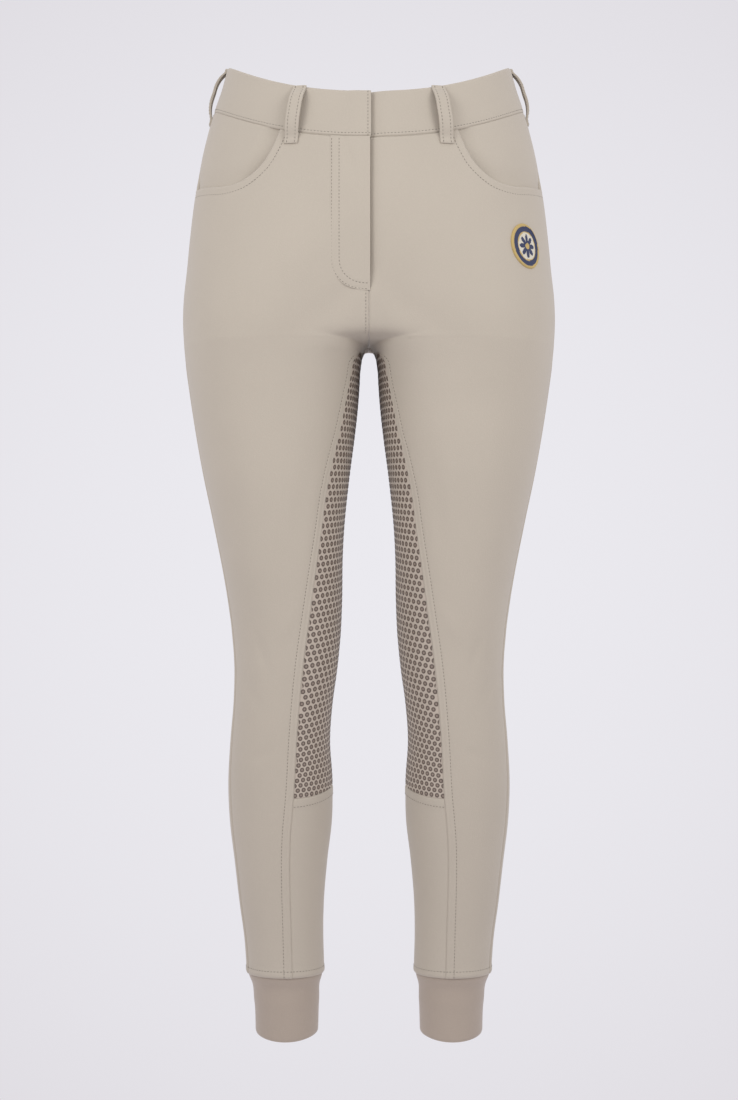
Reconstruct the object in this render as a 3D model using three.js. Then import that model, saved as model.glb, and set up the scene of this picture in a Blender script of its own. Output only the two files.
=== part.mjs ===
// Full-seat riding breeches in soft stretch cloth, filled out as on a wearer and open at waist and cuffs.
//
// Frame: millimetres, +Z up, the front faces -Y, the wearer's left is +X. The origin lies in the middle
// of the waist opening. Heights are given as "down", the distance below the origin.
//
// The body is one smooth surface round two legs. Each panel is a grid of spots on that surface between its
// own seams, thickened inwards, and ends half a seam gap before the seam it shares with its neighbour.

import * as THREE from "three";

const SEAM_GAP = 0.3; // between two panels at a seam
const LAY_GAP = 0.35; // under a piece that lies on another
const PLACKET_GAP = 0.5; // under the fly's edge, which spans the hollow of the belly with straight facets
const CLOTH_WALL = 1.6;
const BAND_WALL = 2.4; // the waistband is two layers of cloth
const CUFF_WALL = 1.6;
const LOOP_WALL = 1.8;
const PLACKET_WALL = 1.0;
const PATCH_WALL = 1.0;

const CROTCH_DOWN = 253;
const BAND_TOP_DOWN = -25; // at the sides and the back
const BAND_HEIGHT = 45;
const BAND_FRONT_DIP = 41; // how much lower the waistband lies at the centre of the front
const BAND_BACK_DIP = 5; // and at the centre of the back
const YOKE_DOWN = 181; // from here down the rows are level
const GRIP_END_DOWN = 698.5; // the lower end of the grip panel, at its front seam
const GRIP_END_RISE = 8; // and how much higher it ends on the inside of the leg
const HEM_DOWN = 876;
const CUFF_END_DOWN = 935;
const CUFF_FRONT_DROP = 5; // how much lower the cuff ends in front

const SEAT_HALF_WIDTH = 121; // the grip panel's rounded top, on the back
const SEAT_HEIGHT = 86;
const SEAT_CORNER = Math.PI / 4; // where its top edge is taken to turn into its side

const TAB_REACH = 2; // the right waistband's end passes the centre by this much
const TAB_RISE = 1.35; // and stands this much proud, over the sunk end of the left one
const UNDERLAP = 16;
const PLACKET_WIDTH = 35.6;
const PLACKET_TURN_DOWN = 177; // where its outer edge starts to curve in
const PLACKET_END_DOWN = 206;
const PLACKET_REACH = 1.2;
const PLACKET_ROWS = 12;

const FACING_DROP = 2.05; // the pocket facing lies this deep behind the front panel
const FACING_UNDERLAP = 12;

const LOOP_WIDTH = 12.6;
const LOOP_TAIL = 12; // how far a belt loop is sewn below the waistband

const PATCH = { across: 20, up: 22, down: 161, x: 152 }; // half sizes and place of the hip patch

const rows = (names, values) =>
  values.map((v) => Object.fromEntries(names.map((n, i) => [n, v[i]])));

// One row for each level: a leg's section is a rounded oval from inner to outer and from front to back.
// Above the crotch the two ovals cross the middle and run into each other over the width "blend".
const SECTIONS = rows(
  ["down", "outer", "inner", "front", "back", "square", "blend"],
  [
    [-45, 136.0, -136.0, -90.0, 90.0, 2.15, 0],
    [-25, 141.0, -141.0, -93.0, 92.0, 2.15, 0],
    [-1, 147.5, -147.5, -97.0, 95.0, 2.15, 0],
    [17, 153.5, -153.5, -100.0, 98.0, 2.15, 0.5],
    [41, 160.0, -160.0, -104.0, 102.0, 2.15, 1],
    [65, 165.5, -165.0, -107.0, 107.0, 2.18, 2],
    [105, 173.5, -164.0, -111.0, 116.0, 2.2, 6],
    [145, 178.5, -146.0, -113.0, 124.0, 2.25, 18],
    [175, 181.5, -118.0, -113.0, 128.0, 2.3, 32],
    [205, 184.8, -80.0, -111.0, 128.0, 2.4, 44],
    [229, 185.4, -47.0, -108.0, 124.0, 2.55, 44],
    [241, 184.8, -24.0, -106.0, 120.5, 2.7, 35],
    [248, 184.3, -7.0, -104.5, 118.0, 2.75, 29],
    [253, 184.0, 6.3, -103.0, 116.0, 2.8, 25.2],
    [261, 183.2, 7.3, -101.0, 113.0, 2.8, 19],
    [275, 182.0, 8.7, -98.5, 109.0, 2.75, 10],
    [305, 178.0, 11.0, -95.0, 102.0, 2.6, 4],
    [345, 171.5, 15.0, -91.0, 92.0, 2.45, 2],
    [385, 164.0, 20.0, -87.0, 83.0, 2.35, 2],
    [425, 155.5, 24.0, -82.0, 75.0, 2.25, 2],
    [465, 147.5, 26.2, -77.0, 67.0, 2.2, 2],
    [505, 140.5, 27.0, -71.0, 61.0, 2.1, 2],
    [545, 136.0, 29.0, -65.0, 56.0, 2.1, 2],
    [575, 134.4, 32.3, -62.0, 54.0, 2.1, 2],
    [605, 135.2, 36.5, -59.0, 55.0, 2.1, 2],
    [645, 138.8, 39.2, -56.0, 59.0, 2.05, 2],
    [685, 140.8, 36.8, -53.0, 61.0, 2.05, 2],
    [725, 139.0, 37.0, -50.0, 59.0, 2.05, 2],
    [765, 134.2, 41.5, -47.0, 53.0, 2.05, 2],
    [805, 129.5, 45.0, -44.0, 47.0, 2.05, 2],
    [845, 124.3, 45.6, -41.5, 43.0, 2.05, 2],
    [865, 122.8, 45.0, -41.0, 41.0, 2.05, 2],
    [877, 122.0, 45.0, -41.0, 40.5, 2.05, 2],
    [887, 116.6, 49.2, -36.0, 36.0, 2.05, 2],
    [905, 114.6, 50.2, -35.0, 35.0, 2.05, 2],
    [939, 113.3, 51.2, -34.5, 34.5, 2.05, 2],
  ],
);

// Where the front panel meets the grip and calf panels, seen from the front.
const FRONT_SEAM = rows(
  ["down", "x"],
  [
    [253, 0],
    [269, 13.8],
    [289, 18.1],
    [314, 23.0],
    [341, 28.3],
    [367, 34.5],
    [399, 41.0],
    [438, 46.1],
    [515, 56.8],
    [574, 64.6],
    [633, 69.9],
    [696, 73.4],
    [733, 76.6],
    [838, 76.1],
    [877, 75.1],
  ],
);

// Where the back panel meets them below the crotch, seen from behind.
const REAR_SEAM = rows(
  ["down", "x"],
  [
    [253, 121],
    [305, 114],
    [405, 101],
    [505, 91],
    [605, 84],
    [705, 82],
    [877, 80],
  ],
);

// The side seam runs a little in front of the widest line.
const SIDE_SEAM = rows(
  ["down", "degrees"],
  [
    [-45, 5],
    [60, 7],
    [200, 10],
    [330, 12],
    [560, 18],
    [939, 19],
  ],
);

// The scooped pocket mouth, from the waistband to the side seam.
const SCOOP = rows(
  ["x", "down"],
  [
    [85.7, 50.7],
    [91.5, 66.0],
    [103.0, 84.5],
    [121.0, 98.5],
    [140.0, 102.7],
    [158.0, 100.5],
  ],
);
const SCOOP_END_DOWN = 97;

const LEVELS = [
  181, 197, 213, 229, 238, 244, 248, 251, 253, 256, 261, 269, 279, 297, 325, 355, 385,
  415, 445, 475, 505, 535, 565, 595, 625, 655, 680, 698.5, 730, 760, 795, 830, 855, 876,
];

const lerp = (a, b, t) => a + (b - a) * t;
const clamp01 = (t) => Math.min(1, Math.max(0, t));
const ease = (t) => clamp01(t) * clamp01(t) * (3 - 2 * clamp01(t));
const steps = (n) => Array.from({ length: n + 1 }, (_, i) => i / n);

// A smooth curve through one column of a table.
function along(table, column, down) {
  const last = table.length - 1;
  const at = Math.min(table[last].down, Math.max(table[0].down, down));
  let i = 0;
  while (i < last - 1 && table[i + 1].down < at) i += 1;
  const chord = (k) =>
    (table[k + 1][column] - table[k][column]) /
    (table[k + 1].down - table[k].down);
  const slope = (k) => {
    if (k === 0) return chord(0);
    if (k === last) return chord(last - 1);
    const before = table[k].down - table[k - 1].down;
    const after = table[k + 1].down - table[k].down;
    return (chord(k - 1) * after + chord(k) * before) / (before + after);
  };
  const h = table[i + 1].down - table[i].down;
  const t = (at - table[i].down) / h;
  return (
    (1 + 2 * t) * (1 - t) ** 2 * table[i][column] +
    t * (1 - t) ** 2 * h * slope(i) +
    t * t * (3 - 2 * t) * table[i + 1][column] +
    t * t * (t - 1) * h * slope(i + 1)
  );
}

const sections = new Map();

// The section's values at a level, worked out once for each level.
function section(down) {
  const key = Math.round(down * 1e6);
  if (!sections.has(key)) {
    const s = {};
    for (const name of Object.keys(SECTIONS[0]))
      s[name] = along(SECTIONS, name, down);
    s.middle = (s.front + s.back) / 2;
    s.axis = (s.outer + Math.max(s.inner, 0)) / 2;
    sections.set(key, s);
  }
  return sections.get(key);
}

// Below nought inside the body, above nought outside it, in millimetres near the surface.
function field(x, y, down) {
  const s = section(down);
  const centre = (s.outer + s.inner) / 2;
  const half = (s.outer - s.inner) / 2;
  const depth = (s.back - s.front) / 2;
  const v = Math.abs((y - s.middle) / depth) ** s.square;
  const oval = (across) =>
    ((Math.abs(across / half) ** s.square + v) ** (1 / s.square) - 1) * half;
  const own = oval(x - centre);
  const other = oval(x + centre);
  const width = Math.max(s.blend, 1e-3);
  const h = Math.max(width - Math.abs(own - other), 0) / width;
  return Math.min(own, other) - (h * h * width) / 4;
}

// The distance from a start, in a direction, at which the body ends.
function reach(x, y, down, dx, dy, most) {
  let inside = 0;
  let outside = most;
  for (let i = 0; i < 44; i += 1) {
    const mid = (inside + outside) / 2;
    if (field(x + mid * dx, y + mid * dy, down) < 0) inside = mid;
    else outside = mid;
  }
  return (inside + outside) / 2;
}

function normalAt(x, y, down) {
  const e = 0.4;
  return new THREE.Vector3(
    field(x + e, y, down) - field(x - e, y, down),
    field(x, y + e, down) - field(x, y - e, down),
    -(field(x, y, down + e) - field(x, y, down - e)),
  ).normalize();
}

// A spot on the left half: its place, the way out, and how far its piece lies off the surface.
const spotAt = (x, y, down, lift = 0) => ({
  place: new THREE.Vector3(x, y, -down),
  out: normalAt(x, y, down),
  lift,
});

// The angle is measured round the leg: 0 is outward, a quarter turn is the front, a half turn inward.
function around(angle, down, lift = 0) {
  const s = section(down);
  const dx = Math.cos(angle);
  const dy = -Math.sin(angle);
  const most = dx < -1e-9 ? Math.min(320, s.axis / -dx) : 320;
  const r = reach(s.axis, s.middle, down, dx, dy, most);
  return spotAt(
    Math.max(0, s.axis + r * dx),
    s.middle + r * dy,
    down,
    lift,
  );
}

// A spot on the front (way -1) or the back (way 1), straight ahead of or behind a place across.
function facing(way, x, down, lift = 0) {
  const middle = section(down).middle;
  return spotAt(x, middle + way * reach(x, middle, down, 0, way, 320), down, lift);
}

// The angle at which the front or back of the leg has a given x.
function angleAt(way, x, down) {
  const end = down < CROTCH_DOWN ? centreAngle(way, down) : Math.PI;
  let near = way < 0 ? 0 : 2 * Math.PI;
  let far = end;
  for (let i = 0; i < 40; i += 1) {
    const mid = (near + far) / 2;
    if (around(mid, down).place.x > x) near = mid;
    else far = mid;
  }
  return (near + far) / 2;
}

function centreAngle(way, down) {
  if (down >= CROTCH_DOWN) return Math.PI;
  const s = section(down);
  const y = way * reach(0, s.middle, down, 0, way, 320);
  const angle = Math.atan2(-y, -s.axis);
  return angle < 0 ? angle + 2 * Math.PI : angle;
}

const memo = (f) => {
  const known = new Map();
  return (down) => {
    if (!known.has(down)) known.set(down, f(down));
    return known.get(down);
  };
};

const sideAngle = (down) =>
  (along(SIDE_SEAM, "degrees", down) * Math.PI) / 180;
const frontCentre = memo((down) => centreAngle(-1, down));
const backCentre = memo((down) => centreAngle(1, down));
const frontEdge = memo((down) =>
  down <= CROTCH_DOWN
    ? frontCentre(down)
    : angleAt(-1, along(FRONT_SEAM, "x", down), down),
);
const rearX = (down) =>
  down < CROTCH_DOWN
    ? SEAT_HALF_WIDTH *
      Math.sqrt(1 - ((CROTCH_DOWN - down) / SEAT_HEIGHT) ** 2)
    : along(REAR_SEAM, "x", down);
const rearEdge = memo((down) => angleAt(1, rearX(down), down));

// How far down the waistband's lower edge lies at a spot given by a function of the level.
function seamLevel(spot) {
  let down = BAND_TOP_DOWN + BAND_HEIGHT;
  for (let i = 0; i < 12; i += 1) {
    const { y } = spot(down).place;
    const { front, back } = section(down);
    const dip =
      y < 0
        ? BAND_FRONT_DIP * (y / front) ** 2
        : BAND_BACK_DIP * (y / back) ** 2;
    down = BAND_TOP_DOWN + BAND_HEIGHT + dip;
  }
  return down;
}

const frontAngle = (t, down) =>
  lerp(frontEdge(down), sideAngle(down), t);
const backAngle = (t, down) =>
  lerp(backCentre(down), sideAngle(down) + 2 * Math.PI, t);

// The front panel's columns run from the centre to the pocket's corner and on along the scoop.
const cornerLevel = seamLevel((down) => facing(-1, SCOOP[0].x, down));
const scoopColumns = SCOOP.map(({ x, down }, i) => {
  const level = i === 0 ? cornerLevel : down;
  const angle = angleAt(-1, x, level);
  const edge = frontEdge(level);
  return { t: (edge - angle) / (edge - sideAngle(level)), top: level };
});
scoopColumns.push({ t: 1, top: SCOOP_END_DOWN });
const CENTRE_COLUMNS = 4;
const frontColumns = steps(CENTRE_COLUMNS)
  .slice(0, CENTRE_COLUMNS)
  .map((s) => s * scoopColumns[0].t)
  .map((t) => ({ t, top: seamLevel((down) => around(frontAngle(t, down), down)) }))
  .concat(scoopColumns);
const bandFrontColumns = frontColumns.map(({ t }) => ({
  t,
  level: seamLevel((down) => around(frontAngle(t, down), down)),
}));

// The back panel's columns: those above the grip panel's top, then those beside it.
const GRIP_REAR_COLUMNS = 5;
const BACK_OUTER_COLUMNS = 6;
const cornerDown = CROTCH_DOWN - SEAT_HEIGHT * Math.sin(SEAT_CORNER);
const cornerShare =
  (rearEdge(cornerDown) - backCentre(cornerDown)) /
  (sideAngle(cornerDown) + 2 * Math.PI - backCentre(cornerDown));
const backColumns = steps(GRIP_REAR_COLUMNS)
  .map((s) => s * cornerShare)
  .concat(
    steps(BACK_OUTER_COLUMNS)
      .slice(1)
      .map((s) => lerp(cornerShare, 1, s)),
  );
const bandBackColumns = backColumns.map((t) => ({
  t,
  level: seamLevel((down) => around(backAngle(t, down), down)),
}));

// The levels at which the rows meet the side seam, above the yoke line.
const FACING_ROWS = 3;
const FRONT_TOP_ROWS = 4;
const sideTop = bandFrontColumns.at(-1).level;
const sideLevels = steps(FACING_ROWS)
  .map((v) => lerp(sideTop, SCOOP_END_DOWN, v))
  .concat(
    steps(FRONT_TOP_ROWS)
      .slice(1)
      .map((v) => lerp(SCOOP_END_DOWN, YOKE_DOWN, v)),
  );
const sideShares = sideLevels.map(
  (down) => (down - sideTop) / (YOKE_DOWN - sideTop),
);

// The grip panel above the crotch: s runs from the centre back to its side, v from the crotch to its top.
const SEAT_ROWS = 8;
function seatSpot(s, v) {
  const b = Math.PI / 2 - SEAT_CORNER * v;
  const a = SEAT_CORNER * s;
  const down =
    CROTCH_DOWN -
    (SEAT_HEIGHT * Math.cos(a) * Math.cos(b)) / Math.cos(SEAT_CORNER);
  const rear = CROTCH_DOWN - SEAT_HEIGHT * Math.cos(b);
  return around(lerp(backCentre(down), rearEdge(rear), s), down);
}

// The row where the grip panel ends slants a little round the inside of the leg.
function slanted(down, share) {
  return down === GRIP_END_DOWN ? down - GRIP_END_RISE * ease(share) : down;
}

const grid = (columns, lines, spot) => {
  const at = lines.map((_, i) => columns.map((__, j) => spot(i, j)));
  const quads = [];
  for (let i = 0; i < lines.length - 1; i += 1)
    for (let j = 0; j < columns.length - 1; j += 1)
      quads.push([at[i][j], at[i][j + 1], at[i + 1][j + 1], at[i + 1][j]]);
  return quads;
};

function frontQuads() {
  const top = grid(frontColumns, steps(FRONT_TOP_ROWS), (i, j) => {
    const { t, top: start } = frontColumns[j];
    const down = lerp(start, YOKE_DOWN, i / FRONT_TOP_ROWS);
    return around(frontAngle(t, down), down);
  });
  const lower = grid(frontColumns, LEVELS, (i, j) =>
    around(frontAngle(frontColumns[j].t, LEVELS[i]), LEVELS[i]),
  );
  return top.concat(lower);
}

function backQuads() {
  const inner = GRIP_REAR_COLUMNS;
  const top = grid(backColumns, sideLevels, (i, j) => {
    const s = Math.min(1, j / inner);
    const edge = -seatSpot(s, 1).place.z;
    const out = Math.max(0, (j - inner) / BACK_OUTER_COLUMNS);
    const end = lerp(edge, YOKE_DOWN, out);
    if (i === sideLevels.length - 1 && j <= inner) return seatSpot(s, 1);
    const down = lerp(bandBackColumns[j].level, end, sideShares[i]);
    return around(backAngle(backColumns[j], down), down);
  });
  const outer = steps(BACK_OUTER_COLUMNS);
  const lower = grid(outer, LEVELS, (i, j) => {
    const rear =
      i <= SEAT_ROWS
        ? CROTCH_DOWN -
          SEAT_HEIGHT * Math.sin(SEAT_CORNER * (1 - i / SEAT_ROWS))
        : LEVELS[i];
    const level = lerp(rear, LEVELS[i], outer[j]);
    const down = slanted(level, 1 - outer[j]);
    if (i === 0)
      return around(
        backAngle(lerp(cornerShare, 1, outer[j]), down),
        down,
      );
    const start = rearEdge(slanted(rear, 1));
    return around(
      lerp(start, sideAngle(down) + 2 * Math.PI, outer[j]),
      down,
    );
  });
  return top.concat(lower);
}

// The inside of the leg between two levels, from the front seam round to the rear seam.
const GRIP_FRONT_COLUMNS = 4;
function innerQuads(from, to) {
  const columns = steps(GRIP_FRONT_COLUMNS)
    .map((s) => s - 1)
    .concat(steps(GRIP_REAR_COLUMNS).slice(1));
  const levels = LEVELS.filter((down) => down >= from && down <= to);
  return grid(columns, levels, (i, j) => {
    const c = columns[j];
    const down = slanted(levels[i], 1 + c);
    return c <= 0
      ? around(lerp(Math.PI, frontEdge(down), -c), down)
      : around(lerp(Math.PI, rearEdge(down), c), down);
  });
}

function gripQuads() {
  const seat = grid(
    steps(GRIP_REAR_COLUMNS),
    steps(SEAT_ROWS),
    (i, j) => seatSpot(j / GRIP_REAR_COLUMNS, i / SEAT_ROWS),
  );
  return seat.concat(innerQuads(CROTCH_DOWN, GRIP_END_DOWN));
}

// The pocket facing fills the scoop and goes on a little way behind the front panel.
function facingQuads() {
  const columns = scoopColumns;
  const lines = [-1, 0, 1, 2, 3];
  return grid(columns, lines, (i, j) => {
    const { t, top: mouth } = columns[j];
    const level = bandFrontColumns[frontColumns.indexOf(columns[j])].level;
    const ends = Math.min(j, columns.length - 1 - j);
    const under = FACING_UNDERLAP * Math.min(1, ends / 2);
    const down =
      lines[i] < 0 ? mouth + under : lerp(mouth, level, lines[i] / 3);
    const away = mouth - down;
    const lift = -FACING_DROP * (1 - ease((away - 3) / 20));
    return around(frontAngle(t, down), down, lift);
  });
}

// One half of the waistband. Its front end is the tab on the right and the underlap on the left.
function bandQuads(isTab) {
  const ends = isTab
    ? [
        { x: -TAB_REACH, lift: TAB_RISE },
        { x: UNDERLAP / 2, lift: TAB_RISE },
        { x: UNDERLAP + 1, lift: TAB_RISE },
      ]
    : [
        { x: -UNDERLAP, lift: -TAB_RISE },
        { x: -UNDERLAP / 2, lift: -TAB_RISE },
        { x: TAB_REACH, lift: -TAB_RISE },
        { x: 9, lift: -TAB_RISE * 0.4 },
      ];
  const [middle, next] = bandFrontColumns;
  const nextX = around(frontAngle(next.t, next.level), next.level).place.x;
  const columns = ends
    .map(({ x, lift }) => ({
      level: lerp(middle.level, next.level, Math.abs(x) / nextX),
      spot: (down) => facing(-1, x, down, lift),
    }))
    .concat(
      bandFrontColumns.slice(1).map(({ t, level }) => ({
        level,
        spot: (down) => around(frontAngle(t, down), down),
      })),
      bandBackColumns
        .slice(0, -1)
        .reverse()
        .map(({ t, level }) => ({
          level,
          spot: (down) => around(backAngle(t, down), down),
        })),
    );
  return grid(columns, steps(2), (i, j) =>
    columns[j].spot(columns[j].level - (BAND_HEIGHT * i) / 2),
  );
}

// The fly's double edge, from the opening to the curved line of stitching.
function placketQuads() {
  const turns = steps(6);
  const width = PLACKET_WIDTH + PLACKET_REACH;
  return grid(turns, steps(PLACKET_ROWS), (i, j) => {
    const a = (turns[j] * Math.PI) / 2;
    const x = width * Math.sin(a) - PLACKET_REACH;
    const start = seamLevel((down) => facing(-1, x, down));
    const end =
      PLACKET_TURN_DOWN +
      (PLACKET_END_DOWN - PLACKET_TURN_DOWN) * Math.cos(a);
    return facing(
      -1,
      x,
      lerp(start, end, i / PLACKET_ROWS),
      PLACKET_GAP + PLACKET_WALL,
    );
  });
}

// A belt loop: a strap sewn down at both ends that stands off the waistband between them.
function loopQuads(place, gap) {
  const lines = [
    [0, 0],
    [0.05, 0],
    [0.15, 0.55],
    [0.28, 0.95],
    [0.45, 1],
    [0.62, 0.95],
    [0.77, 0.6],
    [0.9, 0.05],
    [1, 0],
  ];
  const columns = [-0.5, 0, 0.5];
  return grid(columns, lines, (i, j) => {
    const [share, stand] = lines[i];
    const level = seamLevel((down) => place(0, down, 0));
    const top = level - BAND_HEIGHT + 0.5;
    const down = lerp(top, level + LOOP_TAIL, share);
    const lift = LAY_GAP + LOOP_WALL + (gap - LAY_GAP) * stand;
    return place(columns[j] * LOOP_WIDTH, down, lift);
  });
}

const frontLoopX = (down) => 66 + ((down - 10) * 8.5) / 56;
const LOOPS = {
  front: {
    gap: 7,
    place: (u, down, lift) => facing(-1, frontLoopX(down) + u, down, lift),
  },
  side: {
    gap: 6.5,
    place: (u, down, lift) => {
      const s = section(down);
      return around(u / (s.outer - s.axis), down, lift);
    },
  },
  back: { gap: 6, place: (u, down, lift) => facing(1, u, down, lift) },
};

// The cuff is a tube that starts behind the hem and then closes in round the ankle.
function cuffQuads() {
  const lines = rows(
    ["down", "lift"],
    [
      [866, -2.5],
      [874.5, -2.5],
      [880, -1.2],
      [888, 0],
      [912, 0],
      [CUFF_END_DOWN, 0],
    ],
  );
  const turns = steps(20);
  return grid(turns, lines, (i, j) => {
    const angle = (j % 20) * (Math.PI / 10);
    const { down, lift } = lines[i];
    const low = clamp01((down - 888) / (CUFF_END_DOWN - 888));
    const drop = CUFF_FRONT_DROP * low * Math.max(0, Math.sin(angle)) ** 2;
    return around(angle, down + drop, lift);
  });
}

// An upright oval patch on the left hip.
function patchQuads() {
  const turns = steps(16);
  const rings = steps(2);
  const middle = angleAt(-1, PATCH.x, PATCH.down);
  const scale = 1 / around(middle, PATCH.down).place.distanceTo(
    new THREE.Vector3(
      section(PATCH.down).axis,
      section(PATCH.down).middle,
      -PATCH.down,
    ),
  );
  return grid(turns, rings, (i, j) => {
    const a = (j % 16) * (Math.PI / 8);
    const u = PATCH.across * rings[i] * Math.cos(a);
    const v = PATCH.up * rings[i] * Math.sin(a);
    return around(
      middle + u * scale,
      PATCH.down + v,
      LAY_GAP + PATCH_WALL,
    );
  });
}

// Thickens a patchwork of quads into one closed solid. "mirror" puts it on the wearer's right.
function clothSolid(quads, wall, mirror, gap = SEAM_GAP) {
  const known = new Map();
  const spots = [];
  const numbered = (spot) => {
    const p = spot.place;
    const key = [p.x, p.y, p.z].map((v) => Math.round(v * 1e3)).join(" ");
    if (!known.has(key)) {
      known.set(key, spots.length);
      spots.push(spot);
    }
    return known.get(key);
  };
  const faces = [];
  const addFace = (a, b, c) => {
    if (a === b || b === c || a === c) return;
    const [p, q, r] = [a, b, c].map((i) => spots[i].place);
    const turn = new THREE.Vector3()
      .subVectors(q, p)
      .cross(new THREE.Vector3().subVectors(r, p));
    if (turn.length() > 1e-6) faces.push([a, b, c]);
  };
  for (const quad of quads) {
    let [a, b, c, d] = quad.map(numbered);
    const turn = new THREE.Vector3()
      .subVectors(spots[c].place, spots[a].place)
      .cross(new THREE.Vector3().subVectors(spots[d].place, spots[b].place));
    const out = new THREE.Vector3();
    for (const spot of quad) out.add(spot.out);
    if (turn.dot(out) < 0) [b, d] = [d, b];
    const across = spots[a].place.distanceTo(spots[c].place);
    const other = spots[b].place.distanceTo(spots[d].place);
    if (across <= other) {
      addFace(a, b, c);
      addFace(a, c, d);
    } else {
      addFace(a, b, d);
      addFace(b, c, d);
    }
  }
  const edges = new Map();
  for (const face of faces)
    face.forEach((a, i) => edges.set(`${a} ${face[(i + 1) % 3]}`, [a, face[(i + 1) % 3]]));
  const rim = [...edges.values()].filter(([a, b]) => !edges.has(`${b} ${a}`));
  const inward = spots.map(() => []);
  for (const [a, b] of rim) {
    const run = new THREE.Vector3().subVectors(spots[b].place, spots[a].place);
    for (const i of [a, b])
      inward[i].push(new THREE.Vector3().crossVectors(spots[i].out, run).normalize());
  }
  const outer = spots.map((spot, i) => {
    const p = spot.place.clone().addScaledVector(spot.out, spot.lift);
    const [one, two] = inward[i];
    if (!two) return p;
    const share = gap / 2 / Math.max(0.35, 1 + one.dot(two));
    return p.addScaledVector(one, share).addScaledVector(two, share);
  });
  const inner = outer.map((p, i) => p.clone().addScaledVector(spots[i].out, -wall));
  const points = outer.concat(inner);
  const n = outer.length;
  const triangles = [];
  for (const [a, b, c] of faces) {
    triangles.push([a, b, c]);
    triangles.push([a + n, c + n, b + n]);
  }
  for (const [a, b] of rim) {
    triangles.push([b, a, a + n]);
    triangles.push([b, a + n, b + n]);
  }
  const positions = [];
  for (const p of points) positions.push(mirror ? -p.x : p.x, p.y, p.z);
  const geometry = new THREE.BufferGeometry();
  geometry.setAttribute(
    "position",
    new THREE.Float32BufferAttribute(positions, 3),
  );
  geometry.setIndex(
    triangles.flatMap(([a, b, c]) => (mirror ? [a, c, b] : [a, b, c])),
  );
  geometry.computeVertexNormals();
  return geometry;
}

const cloth = (color, roughness) =>
  new THREE.MeshStandardMaterial({ color, roughness, metalness: 0 });
const MATERIALS = {
  shell: cloth(0xbeb2a6, 0.85),
  grip: cloth(0xa8998a, 0.6),
  knit: cloth(0xa89b8e, 0.9),
  patch: cloth(0x27304f, 0.7),
};

const breeches = new THREE.Group();

function add(name, quads, wall, material, mirror, gap) {
  const mesh = new THREE.Mesh(
    clothSolid(quads, wall, mirror, gap),
    MATERIALS[material],
  );
  mesh.name = name;
  breeches.add(mesh);
}

const calf = innerQuads(GRIP_END_DOWN, HEM_DOWN);
for (const [side, mirror] of [
  ["left", false],
  ["right", true],
]) {
  add(`front_${side}`, frontQuads(), CLOTH_WALL, "shell", mirror);
  add(`back_${side}`, backQuads(), CLOTH_WALL, "shell", mirror);
  add(`seat_grip_${side}`, gripQuads(), CLOTH_WALL, "grip", mirror);
  add(`inner_calf_${side}`, calf, CLOTH_WALL, "shell", mirror);
  add(`pocket_facing_${side}`, facingQuads(), CLOTH_WALL, "shell", mirror);
  add(`waistband_${side}`, bandQuads(mirror), BAND_WALL, "shell", mirror);
  add(`cuff_${side}`, cuffQuads(), CUFF_WALL, "knit", mirror);
  for (const kind of ["front", "side"]) {
    const { place, gap } = LOOPS[kind];
    add(`belt_loop_${kind}_${side}`, loopQuads(place, gap), LOOP_WALL, "shell", mirror);
  }
}
const backLoop = loopQuads(LOOPS.back.place, LOOPS.back.gap);
add("belt_loop_back", backLoop, LOOP_WALL, "shell", false);
add("fly_placket", placketQuads(), PLACKET_WALL, "shell", true);
add("hip_patch", patchQuads(), PATCH_WALL, "patch", false);

export default breeches;
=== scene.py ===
"""Full-seat riding breeches, worn form, front view: the looks on the solids' frame."""

import math

import bpy
import numpy as np
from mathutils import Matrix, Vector


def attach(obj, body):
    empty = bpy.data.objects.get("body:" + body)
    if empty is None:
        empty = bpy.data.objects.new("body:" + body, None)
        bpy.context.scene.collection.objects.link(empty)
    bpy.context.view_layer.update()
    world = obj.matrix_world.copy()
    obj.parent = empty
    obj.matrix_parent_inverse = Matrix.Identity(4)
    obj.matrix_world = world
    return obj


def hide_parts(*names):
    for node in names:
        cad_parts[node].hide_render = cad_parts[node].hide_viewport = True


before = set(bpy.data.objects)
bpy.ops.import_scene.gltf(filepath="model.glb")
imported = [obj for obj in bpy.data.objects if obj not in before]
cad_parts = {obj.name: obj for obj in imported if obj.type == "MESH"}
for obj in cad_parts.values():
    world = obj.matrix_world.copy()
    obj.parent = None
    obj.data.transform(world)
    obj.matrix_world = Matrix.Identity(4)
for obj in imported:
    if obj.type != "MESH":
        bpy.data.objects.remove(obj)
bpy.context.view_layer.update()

# Camera, light and floor: the garment hangs in soft even light, a little stronger from above,
# and is seen straight from the front at half its height.
CAMERA_AWAY = 2.2
CAMERA_HEIGHT = -0.455
VIEW_HEIGHT = 1.1  # metres seen from top to bottom, at the body's middle plane
FLOOR_HEIGHT = -1.62
FLOOR_HALF = 1.5

scene = bpy.context.scene
scene.view_settings.view_transform = "Standard"

lens = bpy.data.cameras.new("camera")
lens.sensor_width = 36.0
lens.lens = 36.0 * CAMERA_AWAY / VIEW_HEIGHT
camera = bpy.data.objects.new("camera", lens)
camera.location = (0.0, -CAMERA_AWAY, CAMERA_HEIGHT)
camera.rotation_euler = (math.radians(90), 0.0, 0.0)
scene.collection.objects.link(camera)
scene.camera = camera

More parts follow.
